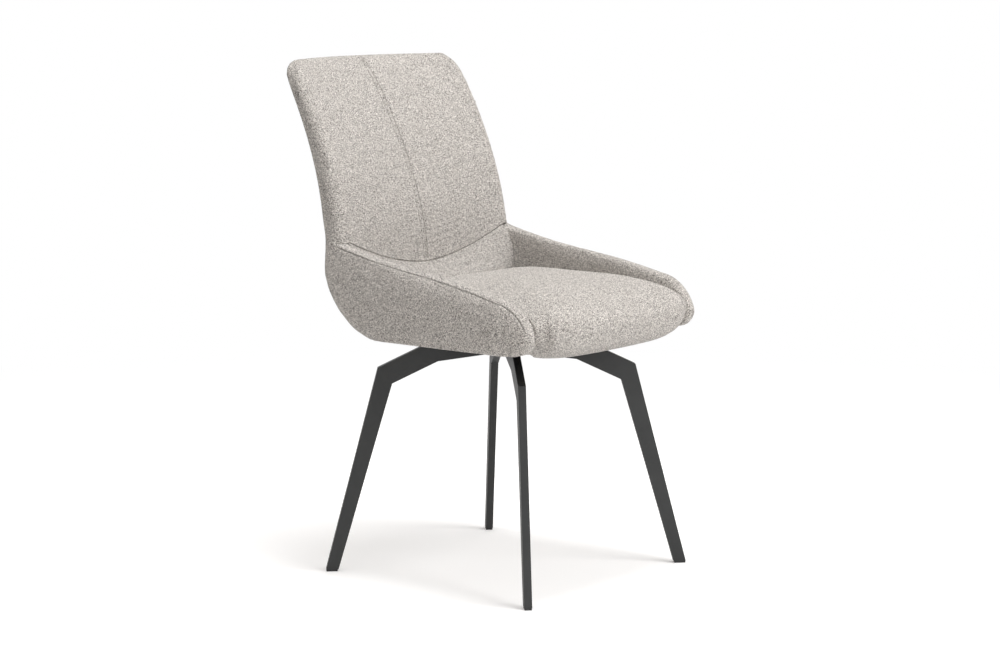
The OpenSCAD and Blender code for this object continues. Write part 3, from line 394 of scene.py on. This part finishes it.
def cad_surface(node):
    """A welded copy of a CAD node's mesh."""
    mesh = frame["nodes"][node].data.copy()
    work = bmesh.new()
    work.from_mesh(mesh)
    bmesh.ops.remove_doubles(work, verts=work.verts, dist=WELD_DISTANCE)
    work.to_mesh(mesh)
    work.free()
    return mesh


def split_edges(work, edges):
    """Halves edges, and keeps every face a triangle."""
    bmesh.ops.subdivide_edges(work, edges=edges, cuts=1)
    bmesh.ops.triangulate(work, faces=[f for f in work.faces if len(f.verts) > 3])


def drop_short_edges(work, shortest, kept):
    """Closes up edges that are too short, wherever that leaves no fold."""
    for _ in range(CLOSE_ROUNDS):
        busy, moves = set(), {}
        for edge in sorted(work.edges, key=lambda e: e.calc_length()):
            if edge.calc_length() > shortest:
                break
            gone, stays = edge.verts
            if gone in kept:
                gone, stays = stays, gone
            if gone in kept or gone in busy or stays in busy:
                continue
            ring = {e.other_vert(gone) for e in gone.link_edges}
            other_ring = {e.other_vert(stays) for e in stays.link_edges}
            if len(ring & other_ring) != 2 or not busy.isdisjoint(ring | other_ring):
                continue
            if stays not in kept:
                stays.co = (stays.co + gone.co) / 2
            moves[gone] = stays
            busy |= ring | other_ring
        if not moves:
            break
        bmesh.ops.weld_verts(work, targetmap=moves)


def finely(mesh, longest):
    """The same form in even triangles whose edges are about this long. Sharp edges stay."""
    work = bmesh.new()
    work.from_mesh(mesh)
    bmesh.ops.triangulate(work, faces=work.faces[:])
    for _ in range(SPLIT_ROUNDS):
        long_edges = [e for e in work.edges if e.calc_length() > longest]
        if not long_edges:
            break
        split_edges(work, long_edges)
    sharp = set()
    for edge in work.edges:
        if edge.calc_face_angle(math.pi) > CREASE_ANGLE:
            sharp.update(edge.verts)
    drop_short_edges(work, longest * SHORTEST_SHARE, sharp)
    bmesh.ops.beautify_fill(work, faces=work.faces[:], edges=[
        e for e in work.edges if e.calc_face_angle(math.pi) < CREASE_ANGLE
    ])
    work.to_mesh(mesh)
    work.free()
    return mesh


def smooth_step(values, low, high):
    t = np.clip((values - low) / (high - low), 0, 1)
    return t * t * (3 - 2 * t)


def relax(points, edges, rounds, hold, inward=0.5, outward=-0.52):
    """Smooths without shrinking: each round pulls in and then pushes back out."""
    count = len(points)
    near = np.bincount(edges.ravel(), minlength=count).astype(float)[:, None]
    near[near == 0] = 1
    free = (1.0 - hold)[:, None]
    for step in range(rounds * 2):
        total = np.zeros_like(points)
        for axis in range(3):
            total[:, axis] = np.bincount(
                edges[:, 0], points[edges[:, 1], axis], count
            ) + np.bincount(edges[:, 1], points[edges[:, 0], axis], count)
        points = points + (total / near - points) * (inward if step % 2 == 0 else outward) * free
    return points


def face_finely(mesh, near):
    """Splits the edges near a seam in steps, and smooths what was split."""
    work = bmesh.new()
    work.from_mesh(mesh)
    bmesh.ops.triangulate(work, faces=[f for f in work.faces if len(f.verts) > 3])
    for reach in SEAM_REACHES:
        work.verts.index_update()
        gaps = near(np.array([v.co for v in work.verts]))
        split_edges(work, [
            e for e in work.edges if e.calc_length() > SHORTEST_SPLIT
            and min(gaps[e.verts[0].index], gaps[e.verts[1].index]) < reach
        ])
    work.to_mesh(mesh)
    work.free()
    points = points_of(mesh)
    far = smooth_step(near(points), SEAM_REACHES[0], SEAM_REACHES[0] * SEAM_FADE_SHARE)
    set_points(mesh, relax(points, edges_of(mesh), SEAM_SMOOTH_ROUNDS, far))


# ------------------------------------------------------------------ neighbours and joins

SOFT_NODES = (
    "seat_cushion", "left_wing", "right_wing", "lumbar_band", "backrest_pad", "back_panel",
)
# Gaps wider than these count as open, from a solid and from a seam
OPEN_GAP, OPEN_SEAM = 0.04, 0.03
# Cloth this near another piece moves fully towards it, and cloth this far not at all
JOIN_RANGE, SIDE_RANGE = (0.0075, 0.017), (0.010, 0.024)
# The share of the gap that is closed
JOIN_SHARE, SIDE_SHARE = 0.48, 0.85
# The groove that stays between the cushion and a wing
GROOVE = 1.5 * MM
# How squarely the cushion's side faces the wing before it spreads, and spreads fully
FACING_RANGE = (0.8, 0.97)
# The stuffing of the cushion's front corners: the most, where it starts, and its run
CORNER_FILL, CORNER_START, CORNER_RUN = 0.003, 0.2, 0.03


def face_tree(meshes):
    """Search tree over the faces of some meshes."""
    verts, faces = [], []
    for mesh in meshes:
        start = len(verts)
        verts += [v.co.copy() for v in mesh.vertices]
        faces += [[start + i for i in p.vertices] for p in mesh.polygons]
    return BVHTree.FromPolygons(verts, faces)


def neighbour_tree(node, soft_only=False, leave_out=()):
    """Search tree over the solids that the soft piece lies against."""
    return face_tree([
        other.data for name, other in frame["nodes"].items()
        if name != node and other.parent == frame["nodes"][node].parent
        and name not in leave_out and (name in SOFT_NODES or not soft_only)
    ])


def gaps_to(tree, points):
    gaps = np.full(len(points), OPEN_GAP)
    for i, p in enumerate(points):
        found = tree.find_nearest(p, OPEN_GAP)
        if found[0] is not None:
            gaps[i] = found[3]
    return gaps


def close_joins(points, tree):
    """Leans the cloth beside a join towards the other piece, so that the join is tight."""
    moved = points.copy()
    for i, p in enumerate(points):
        spot, _, _, gap = tree.find_nearest(p, JOIN_RANGE[1])
        if spot is not None and gap < JOIN_RANGE[1]:
            moved[i] += (np.array(spot) - p) * JOIN_SHARE * (1 - smooth_step(gap, *JOIN_RANGE))
    return moved


def fill_sideways(points, tree):
    """Spreads the sides of the cushion out towards the wings, and leaves a narrow groove."""
    moved = points.copy()
    for i, p in enumerate(points):
        spot, _, _, gap = tree.find_nearest(p, SIDE_RANGE[1])
        if spot is not None and 0 < gap < SIDE_RANGE[1]:
            way = spot.x - p[0]
            facing = smooth_step(abs(way) / gap, *FACING_RANGE)
            room = math.copysign(max(0.0, abs(way) - GROOVE), way)
            moved[i, 0] += room * SIDE_SHARE * (1 - smooth_step(gap, *SIDE_RANGE)) * facing
    return moved


def corner_fill(points, normals):
    """How far the cushion's upright front corners are stuffed out.

    The stuffing is most where the cloth faces sideways and forwards alike.
    """
    slant = np.clip(4 * (normals[:, 0] * normals[:, 1]) ** 2, 0, 1)
    return CORNER_FILL * slant * smooth_step(
        -points[:, 1], CORNER_START, CORNER_START + CORNER_RUN
    )


# ------------------------------------------------------------------ cloth and seams

SWELL_FRAMES = 16
# Cloth held less than this is left free
LEAST_HOLD = 0.01
# From held to free, by the distance to a neighbour: while smoothing, and while swelling
SMOOTH_RANGE, SWELL_RANGE = (0.0006, 0.006), (0.0035, 0.018)
# The cushion's sides swell right up to the wings
CUSHION_HOLD_RANGE, CUSHION_SWELL_RANGE = (0.001, 0.005), (0.001, 0.010)
SMOOTH_ROUNDS, AFTER_ROUNDS = 30, 2
LINE_PITCH = 1 * MM
# The painted shade of a seam is narrower than its dip
PAINTED_SHADE_WIDTH = 0.7


def evaluated_mesh(piece):
    graph = bpy.context.evaluated_depsgraph_get()
    return bpy.data.meshes.new_from_object(piece.evaluated_get(graph), depsgraph=graph)


def swell(mesh, free, pressure, most):
    """Inflates the cloth of a cushion that is held where it touches its neighbours."""
    piece = placed("inflating", mesh)
    held = piece.vertex_groups.new(name="held")
    for i, share in enumerate(1.0 - free):
        if share > LEAST_HOLD:
            held.add([i], float(share), "REPLACE")
    cloth = piece.modifiers.new("cloth", "CLOTH")
    settings = cloth.settings
    settings.quality = 5
    settings.mass = 0.3
    settings.tension_stiffness = settings.compression_stiffness = 20
    settings.shear_stiffness = 8
    settings.bending_stiffness = 1.5
    settings.use_pressure = True
    settings.uniform_pressure_force = pressure
    settings.vertex_group_mass = "held"
    settings.effector_weights.gravity = 0
    cloth.point_cache.frame_start, cloth.point_cache.frame_end = 1, SWELL_FRAMES
    scene = bpy.context.scene
    for number in range(1, SWELL_FRAMES + 1):
        scene.frame_set(number)
    before = points_of(mesh)
    done = evaluated_mesh(piece)
    after = points_of(done)
    bpy.data.objects.remove(piece)
    scene.frame_set(1)
    move = after - before
    length = np.linalg.norm(move, axis=1, keepdims=True)
    move *= np.minimum(1.0, most / np.maximum(length, 1e-9))
    return move * free[:, None]


def resample(points, pitch):
    """The same line with points an even pitch apart."""
    points = np.asarray(points, float)
    steps = np.linalg.norm(np.diff(points, axis=0), axis=1)
    places = np.concatenate([[0], np.cumsum(steps)])
    count = max(2, int(round(places[-1] / pitch)) + 1)
    wanted = np.linspace(0, places[-1], count)
    return np.stack([np.interp(wanted, places, points[:, k]) for k in range(3)], axis=1)


def line_tree(lines):
    dense = np.concatenate([resample(line, LINE_PITCH) for line in lines])
    tree = KDTree(len(dense))
    for i, p in enumerate(dense):
        tree.insert(p, i)
    tree.balance()
    return tree


def distance_to(tree, points):
    return np.array([min(OPEN_SEAM, tree.find(p)[2]) for p in points])


def seam(line, depth, half, shade, fade):
    """A sewn line: how deep and how wide it dips, how much painted shade it gets, and its fade
    at the ends.
    """
    return {"line": line, "depth": depth, "half": half, "shade": shade, "fade": fade}


def sew(mesh, seams):
    """Presses each seam into the cloth and paints shade along it. Both fade out over a length at
    the ends of its line.
    """
    everything = line_tree([s["line"] for s in seams])
    face_finely(mesh, lambda points: distance_to(everything, points))
    points, normals = points_of(mesh), normals_of(mesh)
    shade = np.zeros(len(points))
    for s in seams:
        gaps = distance_to(line_tree([s["line"]]), points)
        ends = [np.linalg.norm(points - s["line"][k], axis=1) for k in (0, -1)]
        strength = smooth_step(np.minimum(*ends), 0.0, s["fade"])
        dip = strength * np.exp(-((gaps / s["half"]) ** 2))
        points = points - normals * (s["depth"] * dip)[:, None]
        line_painted_shade = np.exp(-((gaps / (s["half"] * PAINTED_SHADE_WIDTH)) ** 2))
        shade = np.maximum(shade, s["shade"] * strength * line_painted_shade)
    set_points(mesh, points)
    # The seam attribute holds the painted shade along the seams
    mark = mesh.attributes.new("seam", "FLOAT", "POINT")
    mark.data.foreach_set("value", shade.astype(np.float32))


def shape_cushion(mesh, points, gaps):
    """Stuffs the cushion out to its wings. Gives its points and how free each one is."""
    wings = neighbour_tree("seat_cushion", True, ("lumbar_band", "backrest_pad", "back_panel"))
    normals = normals_of(mesh)
    points = points + normals * corner_fill(points, normals)[:, None]
    points = fill_sideways(points, wings)
    soft_gaps = gaps_to(neighbour_tree("seat_cushion", True), points)
    free = np.minimum(
        smooth_step(gaps, *CUSHION_HOLD_RANGE), smooth_step(soft_gaps, *CUSHION_SWELL_RANGE)
    )
    return points, free


def soft_piece(node, name, face, pressure, most, draw_in=1.5 * MM, seams=None):
    """A padded piece in the CAD form: fine faces, smoothed, inflated between its seams, sewn.

    face is the length of its faces' edges, most is the furthest that it swells, and draw_in is
    how far it starts inside its CAD form.
    """
    mesh = finely(cad_surface(node), face)
    edges = edges_of(mesh)
    points = points_of(mesh)
    gaps = gaps_to(neighbour_tree(node), points)
    points = relax(points, edges, SMOOTH_ROUNDS, 1.0 - smooth_step(gaps, *SMOOTH_RANGE))
    set_points(mesh, points)
    if node == "seat_cushion":
        points, free = shape_cushion(mesh, points, gaps)
    else:
        points = close_joins(points, neighbour_tree(node, True, ("seat_cushion",)))
        free = smooth_step(gaps, *SWELL_RANGE)
    set_points(mesh, points)
    if pressure:
        points = points - normals_of(mesh) * (draw_in * free)[:, None]
        set_points(mesh, points)
        points = points + swell(mesh, free, pressure, most)
        points = relax(points, edges, AFTER_ROUNDS, 1.0 - free)
        set_points(mesh, points)
    piece = placed(name, mesh)
    if seams:
        sew(mesh, seams(face_tree([mesh])))
    mesh.polygons.foreach_set("use_smooth", [True] * len(mesh.polygons))
    mesh.materials.clear()
    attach(piece, "seat")
    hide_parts(node)
    return piece


# ------------------------------------------------------------------ seam lines

# Heights and reaches of the back and the wings, as in the CAD
BACK_TOP = 848 * MM
CREASE_LOW = 504 * MM
WING_NOSE = 227 * MM + AXIS_FORWARD
NOSE_TOP_RUN = 66 * MM
CREST_FRONT, CREST_BACK, NOSE_HEIGHT = 490 * MM, 553 * MM, 429 * MM
CREST_WAVE = 2.5 * MM
BACK_REACH = 172 * MM - AXIS_FORWARD
NOSE_POWER = 1.7

# The centre seam is looked up from in front of the back, and round a pivot inside its top edge
SEAM_HALF = 4.6 * MM
IN_FRONT = -500 * MM
CENTRE_POINTS = 60
TOP_PIVOT = Vector((0, 20 * MM, -2 * MM))
TOP_DEGREES = range(10, 125, 5)
TOP_REACH = 300 * MM

# The rim seam is looked up from outside a wing: its points lie closer together at the nose
RIM_POINTS, RIM_CROWDING = 90, 1.8
RIM_START, RIM_END = 0.5 * MM, 135 * MM
RIM_INSET = 7 * MM
OUTSIDE = 400 * MM
# A hit nearer the middle than this is on the wing's inner side
OUTER_SIDE = 190 * MM


def centre_path(tree, x):
    """The line up the middle of the back's front, and over its top edge."""
    line = []
    for z in np.linspace(CREASE_LOW + 4 * MM, BACK_TOP - 30 * MM, CENTRE_POINTS):
        hit = tree.ray_cast(Vector((x, IN_FRONT, z)), Vector((0, 1, 0)))
        if hit[0] is not None:
            line.append(hit[0])
    pivot = line[-1] + TOP_PIVOT
    for degrees in TOP_DEGREES:
        a = math.radians(degrees)
        out = Vector((0, -math.cos(a), math.sin(a)))
        hit = tree.ray_cast(pivot + out * TOP_REACH, -out)
        if hit[0] is not None:
            line.append(hit[0])
    return np.array([list(p) for p in line])


def crest_height(y):
    """Height of the wing's crest at y."""
    if y < NOSE_TOP_RUN - WING_NOSE:
        share = min(1.0, (NOSE_TOP_RUN - WING_NOSE - y) / NOSE_TOP_RUN)
        fall = 1 - (1 - share ** NOSE_POWER) ** (1 / NOSE_POWER)
        return CREST_FRONT + (NOSE_HEIGHT - CREST_FRONT) * fall
    share = min(1.0, (y + WING_NOSE - NOSE_TOP_RUN) / (WING_NOSE - NOSE_TOP_RUN + BACK_REACH))
    wave = CREST_WAVE * math.sin(2 * math.pi * share)
    return CREST_FRONT + (CREST_BACK - CREST_FRONT) * share + wave


def rim_path(tree, side):
    """The seam along a wing's outer rim, inset below its crest, from the nose to the back."""
    crest = []
    for share in np.linspace(0, 1, RIM_POINTS) ** RIM_CROWDING:
        y = -WING_NOSE + RIM_START + (RIM_END + WING_NOSE) * share
        crest.append((y, crest_height(y)))
    crest = np.array(crest)
    along = np.gradient(crest, axis=0)
    along /= np.linalg.norm(along, axis=1, keepdims=True)
    inner = crest + np.stack([along[:, 1], -along[:, 0]], axis=1) * RIM_INSET
    line = []
    for y, z in inner:
        hit = tree.ray_cast(Vector((side * OUTSIDE, y, z)), Vector((-side, 0, 0)))
        if hit[0] is not None and abs(hit[0].x) > OUTER_SIDE:
            line.append(list(hit[0]))
    return np.array(line)


def pad_seams(tree):
    """The pad's centre seam: a shallow middle between two deeper stitched lines."""
    seams = [seam(centre_path(tree, 0.0), 0.8 * MM, 1.1 * MM, 0.35, 2 * MM)]
    for x in (-SEAM_HALF, SEAM_HALF):
        seams.append(seam(centre_path(tree, x), 1.6 * MM, 1.2 * MM, 0.8, 2 * MM))
    return seams


def left_rim_seam(tree):
    return [seam(rim_path(tree, 1), 1.4 * MM, 1.3 * MM, 0.85, 18 * MM)]


def right_rim_seam(tree):
    return [seam(rim_path(tree, -1), 1.4 * MM, 1.3 * MM, 0.85, 18 * MM)]


STITCH_PITCH, STITCH_LENGTH, STITCH_RADIUS = 5.5 * MM, 4.2 * MM, 0.42 * MM
STITCH_LIFT = 0.1 * MM
STITCH_SIDES, STITCH_RINGS = 6, 5


def stitch_row(name, tree, line, finish):
    """A row of short thread stitches that lie on the cloth along a line."""
    places = resample(line, STITCH_PITCH)
    sides, rings = STITCH_SIDES, STITCH_RINGS
    verts, faces = [], []
    for i in range(len(places) - 1):
        start, end = Vector(places[i]), Vector(places[i + 1])
        along = (end - start).normalized()
        near = tree.find_nearest((start + end) / 2)
        up = near[1]
        across = along.cross(up).normalized()
        base = len(verts)
        for r in range(rings):
            t = r / (rings - 1)
            # Thin where the thread dives into the cloth, thick and high in the middle
            bulge = math.sin(math.pi * (0.08 + 0.84 * t))
            rise = STITCH_LIFT + STITCH_RADIUS * (bulge * 1.3 - 0.7)
            spot = near[0] + along * (STITCH_LENGTH * (t - 0.5)) + up * rise
            for k in range(sides):
                a = 2 * math.pi * k / sides
                round_it = across * math.cos(a) + up * math.sin(a)
                verts.append(spot + round_it * STITCH_RADIUS * bulge ** 0.4)
        for r in range(rings - 1):
            for k in range(sides):
                n = (k + 1) % sides
                a = base + r * sides
                faces.append((a + k, a + n, a + sides + n, a + sides + k))
        faces.append([base + k for k in reversed(range(sides))])
        faces.append([base + (rings - 1) * sides + k for k in range(sides)])
    mesh = bpy.data.meshes.new(name)
    mesh.from_pydata(verts, [], faces)
    mesh.polygons.foreach_set("use_smooth", [True] * len(mesh.polygons))
    mesh.materials.append(finish)
    piece = placed(name, mesh)
    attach(piece, "seat")
    return piece


# ------------------------------------------------------------------ build

make_camera()

# A painted highlight for the loop tips, the cloth's light and mid tones, and painted shade for
# the gaps
LOOP_HIGHLIGHT_TO_SHADE_COLOURS = (
    linear(255, 251, 246), linear(243, 237, 230), linear(180, 173, 166), linear(32, 29, 26),
)
# Each piece gets a copy of the same cloth darkened by a share: painted shade, most on the lumbar
# band and the back panel
cloth = {
    slot: boucle(name, *(painted_shade_copy(colour, light) for colour in LOOP_HIGHLIGHT_TO_SHADE_COLOURS))
    for slot, name, light in (
        ("cushion_fabric", "cushion_cloth", 1.0), ("wing_fabric", "wing_cloth", 0.98),
        ("back_fabric", "back_cloth", 0.93), ("band_fabric", "band_cloth", 0.87),
        ("panel_fabric", "panel_cloth", 0.84),
    )
}
seam_thread = thread("seam_thread", linear(196, 189, 181), linear(160, 152, 144))

pieces = {
    "seat_cushion": soft_piece(
        "seat_cushion", "sewn_cushion", face=7 * MM, pressure=4.0, most=5 * MM
    ),
    "left_wing": soft_piece(
        "left_wing", "sewn_left_wing", face=6 * MM, pressure=3.0, most=3 * MM,
        seams=left_rim_seam,
    ),
    "right_wing": soft_piece(
        "right_wing", "sewn_right_wing", face=6 * MM, pressure=3.0, most=3 * MM,
        seams=right_rim_seam,
    ),
    "lumbar_band": soft_piece(
        "lumbar_band", "sewn_lumbar_band", face=6 * MM, pressure=3.0, most=3 * MM
    ),
    "backrest_pad": soft_piece(
        "backrest_pad", "sewn_backrest_pad", face=7 * MM, pressure=4.0, most=3 * MM,
        draw_in=3 * MM, seams=pad_seams,
    ),
    # The panel is pulled flat over the back board, so nothing inflates it
    "back_panel": soft_piece(
        "back_panel", "sewn_back_panel", face=7 * MM, pressure=0, most=0
    ),
}
slots = {row["node"]: row["material_slot"] for row in frame["record"]["subparts"]}
for node, piece in pieces.items():
    piece.data.materials.append(cloth[slots[node]])

pad_tree = face_tree([pieces["backrest_pad"].data])
for side, word in ((-1, "right"), (1, "left")):
    row_line = centre_path(pad_tree, side * SEAM_HALF)
    stitch_row("centre_stitches_" + word, pad_tree, row_line, seam_thread)

rigid = {
    "leg_paint": powder_coat("powder_coat", linear(36, 37, 37), linear(42, 43, 43)),
    "glide": moulded("glide_plastic", linear(30, 30, 31), linear(42, 42, 43)),
    "zinc": plated("zinc_plate", linear(200, 202, 204), linear(168, 171, 176), 0.3),
    "bolt_steel": plated("blackened_steel", linear(78, 78, 80), linear(52, 52, 55), 0.38, 400.0),
    "ball_steel": polished("bearing_steel", linear(226, 227, 230), linear(200, 202, 206), 0.08),
    "cage": polished("cage_brass", linear(216, 190, 128), linear(190, 160, 96), 0.25),
    "plywood": plywood("birch_ply"),
    "cover_cloth": dust_cloth("dust_cloth"),
    "strap_steel": primed("primed_steel", linear(112, 113, 115), linear(92, 93, 96)),
}
for node, slot in slots.items():
    if slot in rigid:
        mesh_slots = frame["nodes"][node].data.materials
        if len(mesh_slots) == 0:
            mesh_slots.append(rigid[slot])
        for mesh_slot in frame["nodes"][node].material_slots:
            mesh_slot.material = rigid[slot]

# The painted bars have slightly rounded edges
BAR_EDGE = 0.7 * MM
for node in ("leg_front_left", "leg_front_right", "leg_rear_left", "leg_rear_right"):
    weld = frame["nodes"][node].modifiers.new("weld", "WELD")
    weld.merge_threshold = WELD_DISTANCE
    bevel = frame["nodes"][node].modifiers.new("edges", "BEVEL")
    bevel.width, bevel.segments, bevel.limit_method = BAR_EDGE, 2, "ANGLE"
    bevel.harden_normals = True


# ------------------------------------------------------------------ stage

WHITE = (1.0, 1.0, 1.0, 1.0)
FLOOR_GREY = (0.9, 0.9, 0.9, 1.0)
FLOOR_REACH = 400.0
# The floor's light and shadow end in plain white between these distances from the middle
FLOOR_FADE = (1.1, 2.4)
# Plain white that the camera sees under the floor's own light and shadow
FLOOR_VEIL = 0.10
# Plain light from the room: less from the sides than from above
SIDE_LIGHT = (0.622, 0.6, 0.582, 1.0)
TOP_LIGHT = (0.735, 0.719, 0.707, 1.0)
# The height on the sky, from level to straight up, at which the top light is full
TOP_LIGHT_HEIGHT = 0.9


def background_rays(f):
    """1 for the rays that show the background: the camera's, and those off metal or in glass."""
    path = f.node("ShaderNodeLightPath")
    seen = path.out("Is Camera Ray").maths("MAXIMUM", path.out("Is Glossy Ray"))
    return seen.maths("MAXIMUM", path.out("Is Transmission Ray"))


def make_floor():
    mesh = bpy.data.meshes.new("floor")
    corners = ((-1, -1), (1, -1), (1, 1), (-1, 1))
    mesh.from_pydata([(x * FLOOR_REACH, y * FLOOR_REACH, 0) for x, y in corners],
                     [], [(0, 1, 2, 3)])
    f = Finish("floor")
    white = f.node("ShaderNodeEmission", {}, Color=WHITE, Strength=1.0).out(0)
    veil = f.node("ShaderNodeEmission", {}, Color=WHITE, Strength=FLOOR_VEIL).out(0)
    lit = f.node("ShaderNodeBsdfDiffuse", {}, Color=FLOOR_GREY).out(0)
    bright = f.node("ShaderNodeBsdfDiffuse", {}, Color=WHITE).out(0)
    veiled = f.node("ShaderNodeAddShader", {}, bright, veil).out(0)
    seen = background_rays(f)
    distance = f.node(
        "ShaderNodeVectorMath", {"operation": "LENGTH"}, f.coordinates()
    ).out("Value")
    near = f.node("ShaderNodeMixShader", {}, seen, lit, veiled).out(0)
    away = seen * distance.band(*FLOOR_FADE)
    mixed = f.node("ShaderNodeMixShader", {}, away, near, white).out(0)
    f.node("ShaderNodeOutputMaterial", {}, Surface=mixed)
    mesh.materials.append(f.owner)
    placed("floor", mesh)


def make_world():
    f = Finish("studio", "worlds")
    bpy.context.scene.world = f.owner
    sky = f.node("ShaderNodeTexCoord").out("Generated")
    height = f.node("ShaderNodeSeparateXYZ", {}, sky).out("Z")
    stops = ((0.0, SIDE_LIGHT), (TOP_LIGHT_HEIGHT, TOP_LIGHT))
    light = f.node("ShaderNodeValToRGB", {"stops": stops}, height).out("Color")
    room = f.node("ShaderNodeBackground", {}, Color=light, Strength=1.0).out(0)
    white = f.node("ShaderNodeBackground", {}, Color=WHITE, Strength=1.0).out(0)
    mixed = f.node("ShaderNodeMixShader", {}, background_rays(f), room, white).out(0)
    f.node("ShaderNodeOutputWorld", {}, Surface=mixed)


def soft_box(name, place, at, width, height, power):
    data = bpy.data.lights.new(name, "AREA")
    data.shape, data.size, data.size_y, data.energy = "RECTANGLE", width, height, power
    aim(placed(name, data), place, Vector(at) - Vector(place))


make_floor()
make_world()
soft_box("front", place=(0.5, -3.8, 2.6), at=(0, 0, 0.5), width=3.0, height=2.6, power=125)
soft_box("top", place=(0.0, -0.15, 2.9), at=(0, 0, 0), width=1.1, height=1.1, power=43)

bpy.context.scene.view_settings.view_transform = "Standard"
